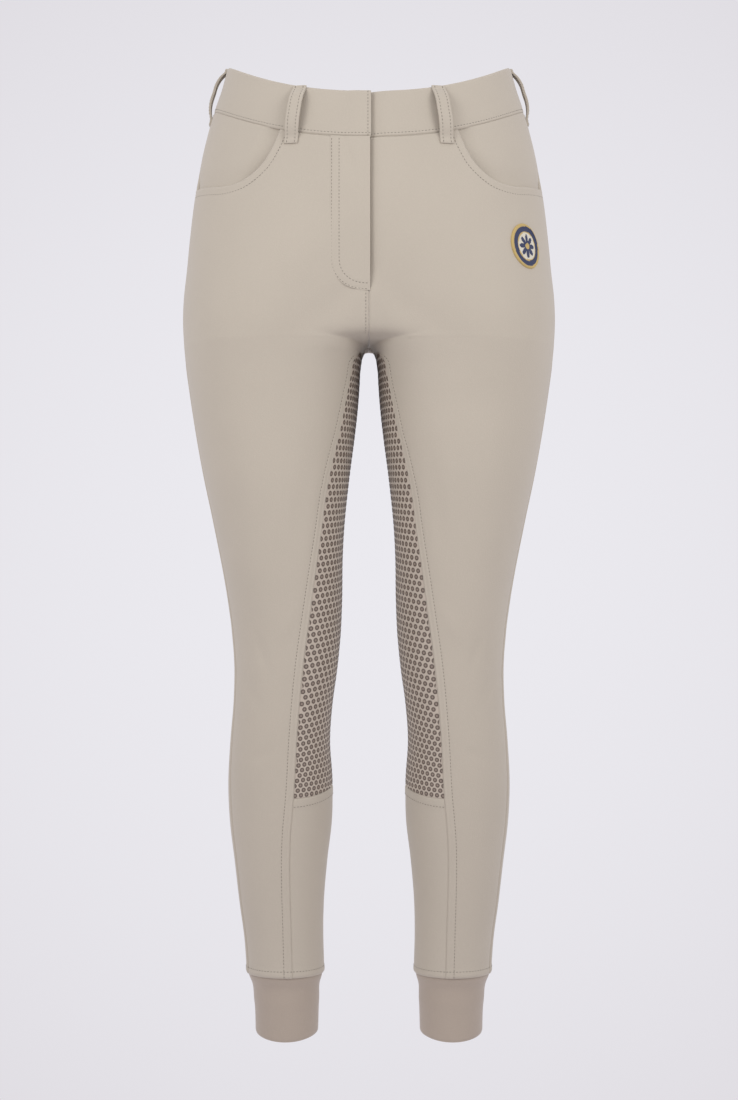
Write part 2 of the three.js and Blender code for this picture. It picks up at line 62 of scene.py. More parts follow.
world = bpy.data.worlds.new("pale_studio")
world.use_nodes = True
sky = world.node_tree
direction = sky.nodes.new("ShaderNodeTexCoord")
parts = sky.nodes.new("ShaderNodeSeparateXYZ")
ahead = sky.nodes.new("ShaderNodeMapRange")
ahead.inputs["From Min"].default_value = 0.955
ahead.inputs["From Max"].default_value = 1.0
backdrop = sky.nodes.new("ShaderNodeMix")
backdrop.data_type = "RGBA"
backdrop.inputs["A"].default_value = (0.745, 0.725, 0.765, 1.0)
backdrop.inputs["B"].default_value = (0.83, 0.82, 0.862, 1.0)
sky.links.new(direction.outputs["Generated"], parts.inputs["Vector"])
sky.links.new(parts.outputs["Y"], ahead.inputs["Value"])
sky.links.new(ahead.outputs["Result"], backdrop.inputs["Factor"])
sky.links.new(backdrop.outputs["Result"], sky.nodes["Background"].inputs["Color"])
scene.world = world


def area_light(name, place, aim, size, power, color):
    data = bpy.data.lights.new(name, "AREA")
    data.shape = "DISK"
    data.size = size
    data.energy = power
    data.spread = math.radians(90)
    data.color = color
    lamp = bpy.data.objects.new(name, data)
    lamp.location = place
    turn = Vector(aim) - Vector(place)
    lamp.rotation_euler = turn.to_track_quat("-Z", "Y").to_euler()
    scene.collection.objects.link(lamp)


LAMP_COLOR = (0.97, 1.0, 1.0)
area_light("key_left", (1.15, -1.2, 0.35), (0.0, 0.0, -0.3), 0.9, 2.7, LAMP_COLOR)
area_light("key_right", (-1.15, -1.2, 0.35), (0.0, 0.0, -0.3), 0.9, 2.7, LAMP_COLOR)
area_light("rear_above", (0.0, 2.0, 1.4), (0.0, 0.0, -0.3), 1.6, 3.6, LAMP_COLOR)


def plain_material(name, color, roughness):
    material = bpy.data.materials.new(name)
    material.use_nodes = True
    shader = material.node_tree.nodes["Principled BSDF"]
    shader.inputs["Base Color"].default_value = (*color, 1.0)
    shader.inputs["Roughness"].default_value = roughness
    return material


floor_mesh = bpy.data.meshes.new("floor")
floor_mesh.from_pydata(
    [
        (x * FLOOR_HALF, y * FLOOR_HALF, FLOOR_HEIGHT)
        for x, y in ((-1, -1), (1, -1), (1, 1), (-1, 1))
    ],
    [],
    [(0, 1, 2, 3)],
)
floor_mesh.materials.append(plain_material("pale_floor", (0.90, 0.88, 0.92), 0.9))
floor = bpy.data.objects.new("floor", floor_mesh)
scene.collection.objects.link(floor)

# Front panels: each is one piece of woven stretch cloth from the waistband to the hem, cut out in a scoop
# for the pocket. Beside the grip panel its edge is folded over and sewn flat with two rows of stitches.
# The form of the whole garment is worked out here, in millimetres, with "down" the depth below the waist.
CLOTH_WALL = 1.6
SINK = 3.0  # how deep the left front lies under the fly at the opening
SINK_WIDTH = 8.0
CROTCH = 253.0
YOKE = 181.0
HEM = 876.0
BAND_TOP = -25.0
BAND_HEIGHT = 45.0
FRONT_DIP = 41.0  # how much lower the waistband lies at the centre of the front
BACK_DIP = 5.0  # and at the centre of the back
SIDES = (("left", 1.0), ("right", -1.0))

SECTION_NAMES = "down outer core inner front back square inside blend".split()
SECTIONS = np.array(
    [
        (-45, 136, 0, -136, -90, 90, 2.15, 2.15, 0),
        (-25, 141, 0, -141, -93, 92, 2.15, 2.15, 0),
        (-1, 147.5, 0, -147.5, -97, 95, 2.15, 2.15, 0),
        (17, 153.5, 0, -153.5, -100, 98, 2.15, 2.15, 0.5),
        (41, 160, 0, -160, -104, 102, 2.15, 2.15, 1),
        (65, 165.5, 0, -165.5, -107, 107, 2.18, 2.18, 2),
        (105, 173.5, 8, -168, -111, 116, 2.2, 2.2, 2),
        (145, 178.5, 26, -160, -113, 124, 2.2, 2.25, 4),
        (175, 181.5, 46, -120, -113, 128, 2.2, 2.35, 8.3),
        (205, 184.8, 68, -70, -111, 128, 2.2, 2.6, 26.3),
        (229, 185.4, 84, -20, -108, 124, 2.2, 3.1, 53.8),
        (241, 184.8, 90, -3, -106, 120.5, 2.2, 3.6, 63.7),
        (246, 184.45, 92.5, 1.5, -105, 118.8, 2.2, 3.9, 60.9),
        (249, 184.25, 93.7, 3.7, -104.5, 117.7, 2.2, 4.1, 50.9),
        (251, 184.1, 94.6, 5, -104.1, 116.8, 2.2, 4.2, 37.5),
        (252.2, 184.05, 95, 5.8, -103.8, 116.3, 2.2, 4.2, 27.3),
        (253, 184, 95.2, 6.3, -103.6, 116, 2.2, 4.2, 25.2),
        (254, 183.9, 95.2, 6.4, -103.4, 115.6, 2.2, 4.15, 24.3),
        (261, 183.2, 95.2, 7.3, -102, 113, 2.2, 3.7, 19),
        (275, 182, 95.3, 8.7, -99.3, 109, 2.2, 3.1, 10),
        (290, 180.1, 95, 9.9, -97.1, 105.5, 2.2, 2.8, 6),
        (305, 178, 94.5, 11, -95, 102, 2.2, 2.6, 4),
        (345, 171.5, 93.2, 15, -91, 92, 2.2, 2.45, 2),
        (385, 164, 92, 20, -87, 83, 2.2, 2.35, 2),
        (425, 155.5, 89.8, 24, -82, 75, 2.15, 2.25, 2),
        (465, 147.5, 86.8, 26.2, -77, 67, 2.15, 2.2, 2),
        (505, 140.5, 83.8, 27, -71, 61, 2.1, 2.1, 2),
        (545, 136, 82.5, 29, -65, 56, 2.1, 2.1, 2),
        (575, 134.4, 83.3, 32.3, -62, 54, 2.1, 2.1, 2),
        (605, 135.2, 85.8, 36.5, -59, 55, 2.1, 2.1, 2),
        (645, 138.8, 89, 39.2, -56, 59, 2.05, 2.05, 2),
        (685, 140.8, 88.8, 36.8, -53, 61, 2.05, 2.05, 2),
        (725, 139, 88, 37, -50, 59, 2.05, 2.05, 2),
        (765, 134.2, 87.8, 41.5, -47, 53, 2.05, 2.05, 2),
        (805, 129.5, 87.2, 45, -44, 47, 2.05, 2.05, 2),
        (845, 124.3, 85, 45.6, -41.5, 43, 2.05, 2.05, 2),
        (865, 122.8, 83.9, 45, -41, 41, 2.05, 2.05, 2),
        (877, 122, 83.5, 45, -41, 40.5, 2.05, 2.05, 2),
        (887, 116.6, 82.9, 49.2, -36, 36, 2.05, 2.05, 2),
        (905, 114.6, 82.4, 50.2, -35, 35, 2.05, 2.05, 2),
        (939, 113.3, 82.2, 51.2, -34.5, 34.5, 2.05, 2.05, 2),
    ]
)
# down, x of the seam beside the grip and calf panels, seen from the front
FRONT_SEAM = np.array(
    [
        (253, 0),
        (269, 13.8),
        (289, 18.1),
        (314, 23.0),
        (341, 28.3),
        (367, 34.5),
        (399, 41.0),
        (438, 46.1),
        (515, 56.8),
        (574, 64.6),
        (633, 69.9),
        (696, 73.4),
        (733, 76.6),
        (838, 76.1),
        (877, 75.1),
    ]
)
# down, degrees in front of the widest line
SIDE_SEAM = np.array([(-45, 5), (60, 7), (200, 10), (330, 13), (560, 21), (939, 24)], float)
# x and down of the pocket mouth, from the waistband to the side seam
SCOOP = np.array([(85.7, 50.7), (91.5, 66.0), (103.0, 84.5), (121.0, 98.5), (140.0, 102.7), (158.0, 100.5)])
SCOOP_END = 97.0
# Each soft crease: whether it is on the front (-1) or the back (1), how far down, x, its slant in
# degrees, its half length, half width and depth.
CREASES = (
    (-1, 556, 104, -76, 16, 5.0, 1.0),
    (-1, 590, 119, -60, 20, 5.5, 0.9),
    (-1, 655, 103, 20, 14, 4.0, 0.6),
    (-1, 528, 80, 60, 18, 6.0, -0.7),
    (-1, 430, 135, 80, 45, 8.0, 0.7),
    (-1, 415, 66, 80, 60, 9.0, 0.8),
    (-1, 215, 26, 62, 30, 9.0, 1.2),
    (-1, 226, 44, 35, 34, 9.0, 0.9),
    (1, 262, 70, -14, 60, 7.0, 1.6),
    (1, 286, 96, -24, 40, 6.0, 1.1),
    (1, 236, 60, 8, 46, 9.0, -0.8),
    (1, 330, 58, 70, 50, 8.0, 0.8),
    (1, 520, 96, 12, 34, 6.0, 1.3),
    (1, 538, 74, -16, 30, 5.0, 1.2),
    (1, 553, 104, 6, 26, 6.0, 0.9),
    (1, 574, 82, 20, 28, 6.0, 0.8),
    (1, 690, 100, 76, 48, 8.0, 0.6),
)


def smooth(table, column, down):
    """A smooth curve through one column of a table whose first column is down."""
    x = table[:, 0]
    y = table[:, column]
    down = np.clip(np.asarray(down, float), x[0], x[-1])
    i = np.clip(np.searchsorted(x, down, side="right") - 1, 0, len(x) - 2)
    gap = np.diff(x)
    chord = np.diff(y) / gap
    slope = np.empty(len(x))
    slope[1:-1] = (chord[:-1] * gap[1:] + chord[1:] * gap[:-1]) / (gap[:-1] + gap[1:])
    slope[0] = chord[0]
    slope[-1] = chord[-1]
    t = (down - x[i]) / gap[i]
    return (
        (1 + 2 * t) * (1 - t) ** 2 * y[i]
        + t * (1 - t) ** 2 * gap[i] * slope[i]
        + t * t * (3 - 2 * t) * y[i + 1]
        + t * t * (t - 1) * gap[i] * slope[i + 1]
    )


def section(down):
    return {name: smooth(SECTIONS, k, down) for k, name in enumerate(SECTION_NAMES) if k}


def field(x, y, s):
    """Below nought inside the body, above nought outside it: two rounded ovals run together.

    Each oval is deepest at its core, and its inner half has a width and a squareness of its own.
    """
    depth = (s["back"] - s["front"]) / 2
    v = np.abs(y - (s["front"] + s["back"]) / 2) / depth
    scale = s["core"] - s["inner"]
    ovals = []
    for across in (x - s["core"], -x - s["core"]):
        power = np.where(across < 0, s["inside"], s["square"])
        u = np.abs(across) / np.where(across < 0, scale, s["outer"] - s["core"])
        ovals.append(((u**power + v**power) ** (1 / power) - 1) * scale)
    own, other = ovals
    blend = np.maximum(s["blend"], 1e-3)
    h = np.maximum(blend - np.abs(own - other), 0) / blend
    return np.minimum(own, other) - h * h * blend / 4


def reach(x, y, s, dx, dy, most):
    """The distance from a start, in a direction, at which the body ends."""
    inside = np.zeros(np.broadcast(x, y, dx, dy).shape)
    outside = inside + most
    for _ in range(30):
        mid = (inside + outside) / 2
        within = field(x + mid * dx, y + mid * dy, s) < 0
        inside = np.where(within, mid, inside)
        outside = np.where(within, outside, mid)
    return (inside + outside) / 2


def around(angle, down):
    """The surface at an angle round the leg: 0 is outward, a quarter turn the front, a half turn inward."""
    angle, down = np.broadcast_arrays(np.asarray(angle, float), np.asarray(down, float))
    s = section(down)
    axis = (s["outer"] + np.maximum(s["inner"], 0)) / 2
    middle = (s["front"] + s["back"]) / 2
    dx = np.cos(angle)
    dy = -np.sin(angle)
    most = np.where(dx < -1e-9, np.minimum(320, axis / np.maximum(-dx, 1e-9)), 320)
    r = reach(axis, middle, s, dx, dy, most)
    return np.stack([np.maximum(axis + r * dx, 0), middle + r * dy, -down], -1)


def straight(way, x, down):
    """The surface straight ahead of (way -1) or behind (way 1) a place across."""
    x, down = np.broadcast_arrays(np.asarray(x, float), np.asarray(down, float))
    s = section(down)
    middle = (s["front"] + s["back"]) / 2
    return np.stack([x, middle + way * reach(x, middle, s, 0.0, way, 320), -down], -1)


def outward(p):
    """The surface's normal at points on it."""
    e = 0.4
    x, y, down = p[..., 0], p[..., 1], -p[..., 2]
    s = section(down)
    n = np.stack(
        [
            field(x + e, y, s) - field(x - e, y, s),
            field(x, y + e, s) - field(x, y - e, s),
            field(x, y, section(down - e)) - field(x, y, section(down + e)),
        ],
        -1,
    )
    return n / np.linalg.norm(n, axis=-1, keepdims=True)


def centre_angle(way, down):
    """Where the middle plane cuts the body, above the crotch."""
    s = section(down)
    middle = (s["front"] + s["back"]) / 2
    y = way * reach(0.0, middle, s, 0.0, way, 320)
    axis = (s["outer"] + np.maximum(s["inner"], 0)) / 2
    angle = np.arctan2(-y, -axis) % (2 * math.pi)
    return np.where(down >= CROTCH, math.pi, angle)


def angle_at(way, x, down):
    near = np.full(np.shape(down), 0.0 if way < 0 else 2 * math.pi)
    far = centre_angle(way, down)
    for _ in range(30):
        mid = (near + far) / 2
        beyond = around(mid, down)[..., 0] > x
        near = np.where(beyond, mid, near)
        far = np.where(beyond, far, mid)
    return (near + far) / 2


LINE = np.concatenate([np.arange(190, 275, 0.5), np.arange(275, 941, 3.0)])
front_line = np.where(LINE < CROTCH, 0.0, angle_at(-1, smooth(FRONT_SEAM, 1, LINE), LINE))


def front_edge(down):
    """The angle of the centre front, and below the crotch of the seam beside the grip panel."""
    return np.where(down <= CROTCH, centre_angle(-1, down), np.interp(down, LINE, front_line))


def side_edge(down):
    return np.radians(smooth(SIDE_SEAM, 1, down))


def mixed(a, b, t):
    return a + (b - a) * t


def front_spot(t, down):
    return around(mixed(front_edge(down), side_edge(down), t), down)


def seam_level(spot):
    """How far down the waistband's lower edge lies, for spots given as a function of down."""
    down = BAND_TOP + BAND_HEIGHT
    for _ in range(12):
        y = spot(down)[..., 1]
        front = (np.minimum(0, y) / smooth(SECTIONS, 4, down)) ** 2
        back = (np.maximum(0, y) / smooth(SECTIONS, 5, down)) ** 2
        down = BAND_TOP + BAND_HEIGHT + FRONT_DIP * front + BACK_DIP * back
    return down


def ease(t):
    t = np.clip(t, 0, 1)
    return t * t * (3 - 2 * t)


def bump(d, at, width):
    return np.exp(-(((d - at) / width) ** 2))


FINE_EDGE = np.array([0, 0.4, 0.9, 1.5, 2.3, 3.5, 5.0, 7.0])
DOUBLE_EDGE = np.array([0, 0.4, 0.9, 1.5, 2.3, 3.5, 5.0, 6.4, 7.6, 8.6, 9.6, 10.8, 12.5])
NO_EDGE = np.array([0.0])


def columns(spot, rows, near, far, count):
    """Where the columns cut each row: at set distances from its ends, with even steps between them."""
    t = np.linspace(0, 1, 241)
    p = spot(t[None, :], np.reshape(rows, (-1, 1)))
    steps = np.linalg.norm(np.diff(p, axis=1), axis=2)
    places = []
    for run in np.pad(np.cumsum(steps, axis=1), ((0, 0), (1, 0))):
        fit = min(1, run[-1] / (1.3 * (near[-1] + far[-1]) + 1e-6))
        start = near * fit
        end = run[-1] - far[::-1] * fit
        inner = mixed(start[-1], end[0], np.arange(1, count) / count)
        places.append(np.interp(np.concatenate([start, inner, end]), run, t))
    return np.array(places)


def distances(p):
    """How far each grid point is from the grid's four edges, along its row and its column."""
    rows = np.linalg.norm(np.diff(p, axis=1), axis=2)
    columns = np.linalg.norm(np.diff(p, axis=0), axis=2)
    left = np.pad(np.cumsum(rows, axis=1), ((0, 0), (1, 0)))
    top = np.pad(np.cumsum(columns, axis=0), ((1, 0), (0, 0)))
    return left, left[:, -1:] - left, top, top[-1:] - top


def away(p, line):
    """The distance of points from a line given by its own points."""
    start, run = line[:-1], np.diff(line, axis=0)
    reachable = np.maximum((run**2).sum(1), 1e-9)
    flat = p.reshape(-1, 3)
    best = np.empty(len(flat))
    for i in range(0, len(flat), 2000):
        to = flat[i : i + 2000, None] - start
        along = np.clip((to * run).sum(2) / reachable, 0, 1)
        best[i : i + 2000] = np.linalg.norm(to - along[..., None] * run, axis=2).min(1)
    return best.reshape(p.shape[:-1])


def creased(p, n):
    """The lift of the soft creases and of the cloth's slight unevenness."""
    x, y, down = p[..., 0], p[..., 1], -p[..., 2]
    lift = 0.25 * np.sin(down / 47 + 1.3) * np.sin(x / 31 + y / 38 + 0.5)
    lift = lift + 0.16 * np.sin(down / 23 + x / 19) * np.sin(y / 17 - down / 61)
    lift = lift * ease((down - 60) / 60) * ease((HEM - 20 - down) / 60)
    for way, level, across, slant, length, width, depth in CREASES:
        c, s = math.cos(math.radians(slant)), math.sin(math.radians(slant))
        u = ((x - across) * c + (down - level) * s) / length
        v = ((down - level) * c - (x - across) * s) / width
        lift = lift - ease(0.6 + n[..., 1] * 1.5 * way) * depth * np.exp(-(u**2) - v**2)
    return lift


def cloth_mesh(name, patches, wall, side, gap=0.05):
    """A closed mesh from grids of (points, normals, lifts), joined where they meet, wall thick."""
    points, normals, quads = [], [], []
    start = 0
    for p, n, lift in patches:
        rows, columns = p.shape[:2]
        index = start + np.arange(rows * columns).reshape(rows, columns)
        q = np.stack([index[:-1, :-1], index[:-1, 1:], index[1:, 1:], index[1:, :-1]], -1)
        turn = np.cross(p[1:, 1:] - p[:-1, :-1], p[1:, :-1] - p[:-1, 1:])
        if (turn * n[:-1, :-1]).sum() < 0:
            q = q[..., ::-1]
        quads.append(q.reshape(-1, 4))
        points.append((p + n * lift[..., None]).reshape(-1, 3))
        normals.append(n.reshape(-1, 3))
        start += rows * columns
    points = np.concatenate(points)
    normals = np.concatenate(normals)
    quads = np.concatenate(quads)
    _, first, joined = np.unique(
        np.round(points, 2), axis=0, return_index=True, return_inverse=True
    )
    points, normals, quads = points[first], normals[first], joined.reshape(-1)[quads]
    same = quads == np.roll(quads, -1, axis=1)
    whole = quads[~same.any(1)]
    folded = same.sum(1) == 1
    triples = quads[folded][~same[folded]].reshape(-1, 3)
    edges = np.concatenate(
        [whole[:, [k, (k + 1) % 4]] for k in range(4)]
        + [triples[:, [k, (k + 1) % 3]] for k in range(3)]
    )
    size = len(points)
    keys = edges[:, 0] * size + edges[:, 1]
    rim = edges[~np.isin(keys, edges[:, 1] * size + edges[:, 0])]
    run = points[rim[:, 1]] - points[rim[:, 0]]
    inward = np.cross(normals[rim].mean(1), run)
    inward /= np.maximum(np.linalg.norm(inward, axis=1, keepdims=True), 1e-9)
    pull = np.zeros_like(points)
    np.add.at(pull, rim[:, 0], inward)
    np.add.at(pull, rim[:, 1], inward)
    points = points + pull / np.maximum(np.linalg.norm(pull, axis=1, keepdims=True), 1) * gap
    both = np.concatenate([points, points - normals * wall])
    faces = [whole, triples, whole[:, ::-1] + size, triples[:, ::-1] + size]
    faces.append(np.stack([rim[:, 1], rim[:, 0], rim[:, 0] + size, rim[:, 1] + size], -1))
    if side < 0:
        both = both * (-1, 1, 1)
        faces = [f[:, ::-1] for f in faces]
    mesh = bpy.data.meshes.new(name)
    mesh.from_pydata((both / 1000).tolist(), [], [f for group in faces for f in group.tolist()])
    mesh.polygons.foreach_set("use_smooth", np.ones(len(mesh.polygons), bool))
    ends = np.empty(len(mesh.edges) * 2, np.int64)
    mesh.edges.foreach_get("vertices", ends)
    ends = np.sort(ends.reshape(-1, 2), axis=1)
    rim = np.sort(rim, axis=1)
    rims = np.concatenate([rim, rim + size])
    sharp = np.isin(ends[:, 0] * 2 * size + ends[:, 1], rims[:, 0] * 2 * size + rims[:, 1])
    mesh.attributes.new("sharp_edge", "BOOLEAN", "EDGE").data.foreach_set("value", sharp)
    mesh.update()
    return mesh


def placed(name, mesh, materials):
    """Puts a mesh in the scene as a piece of the garment."""
    for material in materials:
        mesh.materials.append(material)
    piece = bpy.data.objects.new(name, mesh)
    scene.collection.objects.link(piece)
    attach(piece, "root")
    return piece


def cloth_piece(name, node, patches, wall, side, material):
    piece = placed(name, cloth_mesh(name, patches, wall, side), [material])
    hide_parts(node)
    return piece


def line_at(patch, distance, at):
    """The line on a patch where a distance that grows along its rows reaches a value."""
    p, n, lift = patch
    q = p + n * lift[..., None]
    lines = [
        np.stack([[np.interp(at, d, row[:, k]) for k in range(3)] for d, row in zip(distance, grid)])
        for grid in (q, n)
    ]
    return lines


def turned(patch, distance):
    """A patch and a distance with rows and columns changed over, for lines along the rows."""
    p, n, lift = patch
    return (p.swapaxes(0, 1), n.swapaxes(0, 1), lift.T), distance.T


def flipped(patch, distance):
    """A patch and a distance with the columns in the other order."""
    p, n, lift = patch
    return (p[:, ::-1], n[:, ::-1], lift[:, ::-1]), distance[:, ::-1]


STITCH_PITCH = 3.3
STITCH_LENGTH = 2.3
STITCH_HALF = 0.3  # half a stitch's width and height


def stitches(name, lines, side, material):
    """Rows of sewing thread lying on the cloth, one small grain for each stitch."""
    points = []
    for line, normals in lines:
        run = np.pad(np.cumsum(np.linalg.norm(np.diff(line, axis=0), axis=1)), (1, 0))
        count = int(run[-1] // STITCH_PITCH)
        at = (np.arange(count) + 0.5) * run[-1] / count

        def along(values, where):
            return np.stack([np.interp(where, run, values[:, k]) for k in range(3)], -1)

        middle = along(line, at)
        up = along(normals, at)
        up /= np.linalg.norm(up, axis=1, keepdims=True)
        ahead = along(line, at + 0.8) - along(line, at - 0.8)
        ahead /= np.linalg.norm(ahead, axis=1, keepdims=True)
        across = np.cross(up, ahead)
        for share, wide, high in ((-0.5, 0, -0.5), (0.5, 0, -0.5)):
            points.append(middle + ahead * share * STITCH_LENGTH + up * high * STITCH_HALF)
        for share in (-0.28, 0.28):
            for wide, high in ((-1, 0.1), (0, 1), (1, 0.1), (0, -1)):
                points.append(
                    middle
                    + ahead * share * STITCH_LENGTH
                    + across * wide * STITCH_HALF
                    + up * high * STITCH_HALF
                )
        points[-10:] = [np.stack(points[-10:], 1)]
    grains = np.concatenate(points)
    shape = []
    for k in range(4):
        m = (k + 1) % 4
        shape += [(0, 2 + m, 2 + k), (1, 6 + k, 6 + m), (2 + k, 2 + m, 6 + m, 6 + k)]
    count = len(grains)
    vertices = grains.reshape(-1, 3) * (side, 1, 1) / 1000
    faces = []
    for face in shape:
        faces += (np.arange(count)[:, None] * 10 + np.array(face[:: int(side)])).tolist()
    mesh = bpy.data.meshes.new(name)
    mesh.from_pydata(vertices.tolist(), [], faces)
    mesh.polygons.foreach_set("use_smooth", np.ones(len(mesh.polygons), bool))
    return placed(name, mesh, [material])


def woven(name, color, roughness, sheen, weave, depth):
    """Matt stretch cloth: a fine even weave in the bump and a faint cloudiness in the colour."""
    material = bpy.data.materials.new(name)
    material.use_nodes = True
    nodes = material.node_tree.nodes
    link = material.node_tree.links.new
    shader = nodes["Principled BSDF"]
    shader.inputs["Roughness"].default_value = roughness
    shader.inputs["Sheen Weight"].default_value = sheen
    shader.inputs["Sheen Roughness"].default_value = 0.5
    shader.inputs["Specular IOR Level"].default_value = 0.3
    place = nodes.new("ShaderNodeTexCoord")
    cloud = nodes.new("ShaderNodeTexNoise")
    cloud.inputs["Scale"].default_value = 14.0
    cloud.inputs["Detail"].default_value = 3.0
    link(place.outputs["Object"], cloud.inputs["Vector"])
    tint = nodes.new("ShaderNodeMix")
    tint.data_type = "RGBA"
    tint.inputs["A"].default_value = (*(c * 0.965 for c in color), 1.0)
    tint.inputs["B"].default_value = (*(min(1, c * 1.035) for c in color), 1.0)
    link(cloud.outputs["Fac"], tint.inputs["Factor"])
    threads = nodes.new("ShaderNodeTexVoronoi")
    threads.inputs["Scale"].default_value = weave
    link(place.outputs["Object"], threads.inputs["Vector"])
    speck = nodes.new("ShaderNodeMix")
    speck.data_type = "RGBA"
    speck.blend_type = "MULTIPLY"
    speck.inputs["Factor"].default_value = 0.05
    link(tint.outputs["Result"], speck.inputs["A"])
    link(threads.outputs["Distance"], speck.inputs["B"])
    link(speck.outputs["Result"], shader.inputs["Base Color"])
    raised = nodes.new("ShaderNodeBump")
    raised.inputs["Strength"].default_value = depth
    raised.inputs["Distance"].default_value = 0.0003
    link(threads.outputs["Distance"], raised.inputs["Height"])
    link(raised.outputs["Normal"], shader.inputs["Normal"])
    return material


SHELL_COLOR = (0.475, 0.420, 0.345)
shell_cloth = woven("shell_cloth", SHELL_COLOR, 0.82, 0.25, 900.0, 0.25)
# The thread is a little darker than the cloth, tone on tone. Painted shade darkens it further, standing for the
# shadow in the stitch dents.
thread_with_painted_shade = woven("thread_with_painted_shade", [c * 0.42 for c in SHELL_COLOR], 0.7, 0.1, 2500.0, 0.3)

# The pocket mouth as a curve of shares across the panel and levels.
mouth_level = np.append(SCOOP[:, 1], SCOOP_END)
mouth_level[0] = float(seam_level(lambda down: straight(-1, SCOOP[0, 0], down)))
mouth_angle = angle_at(-1, SCOOP[:, 0], mouth_level[:-1])
centre_edge = front_edge(mouth_level[:-1])
mouth_share = (centre_edge - mouth_angle) / (centre_edge - side_edge(mouth_level[:-1]))
mouth_share = np.append(mouth_share, 1.0)
mouth_run = np.arange(len(mouth_share), dtype=float)
mouth_fine = np.linspace(0, mouth_run[-1], 121)
mouth_share = smooth(np.stack([mouth_run, mouth_share], 1), 1, mouth_fine)
mouth_level = smooth(np.stack([mouth_run, mouth_level], 1), 1, mouth_fine)
mouth_line = front_spot(mouth_share, mouth_level)


def band_level(spot, share):
    return seam_level(lambda down: spot(share, down))


def front_top(t, v):
    """The front above the yoke line: v runs from its upper edge, 0, to the yoke line, 1."""
    start = np.where(
        t >= mouth_share[0], np.interp(t, mouth_share, mouth_level), band_level(front_spot, t)
    )
    return front_spot(t, mixed(start, YOKE, v))


top_rows = np.concatenate([FINE_EDGE, np.arange(10, 126, 4.0)]) / 126
leg_rows = [np.arange(YOKE, 209, 4.0), np.arange(209, 305, 2.0), np.arange(305, HEM - 7, 4.0)]
low_rows = np.concatenate([*leg_rows, HEM - FINE_EDGE[::-1]])

# The body's middle line turns under at the crotch, so the rows' starts are spread evenly along it.
SPREAD_TO = 333.0
edge_level = [np.arange(YOKE, 250, 1.0), CROTCH - 3 * np.linspace(1, 0, 25) ** 2.8]
edge_level = np.concatenate([*edge_level, np.arange(CROTCH + 0.5, SPREAD_TO + 1, 0.5)])
edge_p = around(front_edge(edge_level), edge_level)
edge_run = np.pad(np.cumsum(np.linalg.norm(np.diff(edge_p, axis=0), axis=1)), (1, 0))
edge_length = np.interp(SPREAD_TO, edge_level, edge_run)


def row_start(level):
    """The level at the middle, or at the front seam, of the row that ends at a level at the side."""
    run = np.clip((level - YOKE) / (SPREAD_TO - YOKE), 0, 1) * edge_length
    return np.where(level < SPREAD_TO, np.interp(run, edge_run, edge_level), level)


def front_low(t, level):
    start = row_start(level)
    return around(mixed(front_edge(start), side_edge(level), t), mixed(start, level, t**2))


top_share = columns(front_top, [0.9], DOUBLE_EDGE, FINE_EDGE, 70)
top_share = np.sort(np.append(top_share[0], mouth_share[0]))[None, :]
low_share = columns(front_low, low_rows, DOUBLE_EDGE, FINE_EDGE, 71)
front_p = np.concatenate([front_top(top_share, top_rows[:, None]), front_low(low_share, low_rows[:, None])])
front_n = outward(front_p)
d_centre, d_side, d_top, d_hem = distances(front_p)
d_mouth = away(front_p, mouth_line)
down = -front_p[..., 2]
legs = ease((down - CROTCH - 2) / 14)
front_lift = creased(front_p, front_n)
front_lift -= 1.5 * bump(d_side, 0, 1.5) + 0.8 * bump(d_hem, 0, 1.2)
front_lift -= 1.3 * bump(np.minimum(d_top, d_mouth), 0, 0.8) + 0.3 * bump(d_mouth, 7.6, 0.8)
front_lift += 0.5 * bump(d_mouth, 2.0, 2.5) - (1 - legs) * 1.2 * bump(d_centre, 0, 0.8)
front_lift += legs * (0.4 * ease((9.0 - d_centre) / 1.6) - 0.6 * bump(d_centre, 0, 0.6))
front_lift += legs * (0.2 * bump(d_centre, 1.7, 0.8) - 0.6 * bump(d_centre, 3.1, 0.6))
front_lift -= legs * 0.35 * bump(d_centre, 8.2, 0.8)
front_lift += 0.25 * ease((7.6 - d_hem) / 1.5) - 0.35 * bump(d_hem, 6.7, 0.8)
front = (front_p, front_n, front_lift)
# Beside the fly the left front sinks away under the strip that laps over it.
sunk = SINK * bump(d_centre, 0, SINK_WIDTH) * ease((206 - down) / 14)
lapped_front = (front_p, front_n, front_lift - sunk)
below = row_start(low_rows) > CROTCH + 12
inner_rows = np.concatenate([np.zeros(len(top_rows), bool), below])
leg_part = tuple(a[inner_rows] for a in front)
mouth_side = np.linspace(0.06, 0.985, 60)
mouth_at = np.interp(mouth_side, np.linspace(0, 1, 121), mouth_share)
mouth_down = np.interp(mouth_side, np.linspace(0, 1, 121), mouth_level)


def beside_mouth(distance):
    """A line at a distance below the pocket mouth."""
    p = front_spot(mouth_at, mouth_down)
    n = outward(p)
    inward = np.cross(np.gradient(p, axis=0), n)
    inward /= np.linalg.norm(inward, axis=1, keepdims=True)
    if inward[30, 2] > 0:
        inward = -inward
    q = p + inward * distance
    q = straight(-1, q[:, 0], -q[:, 2])
    n = outward(q)
    return q + n * (creased(q, n) - 0.1)[:, None], n


low_part = tuple(a[len(top_rows):, ::-1] for a in front)
front_sewing = [
    # A row of dark thread along the side seam: painted shade that stands for the seam's shadow line.
    line_at(low_part, d_side[len(top_rows):, ::-1], 0.5),
    line_at(leg_part, d_centre[inner_rows], 8.2),
    line_at(*turned(*[tuple(a[::-1] for a in front), d_hem[::-1]]), 6.7),
    beside_mouth(1.6),
    beside_mouth(7.8),
]
for name, side in SIDES:
    piece = cloth_piece(
        f"front_panel_{name}",
        f"front_{name}",
        [lapped_front if side > 0 else front],
        CLOTH_WALL,
        side,
        shell_cloth,
    )
    stitches(f"front_stitches_{name}", front_sewing, side, thread_with_painted_shade)

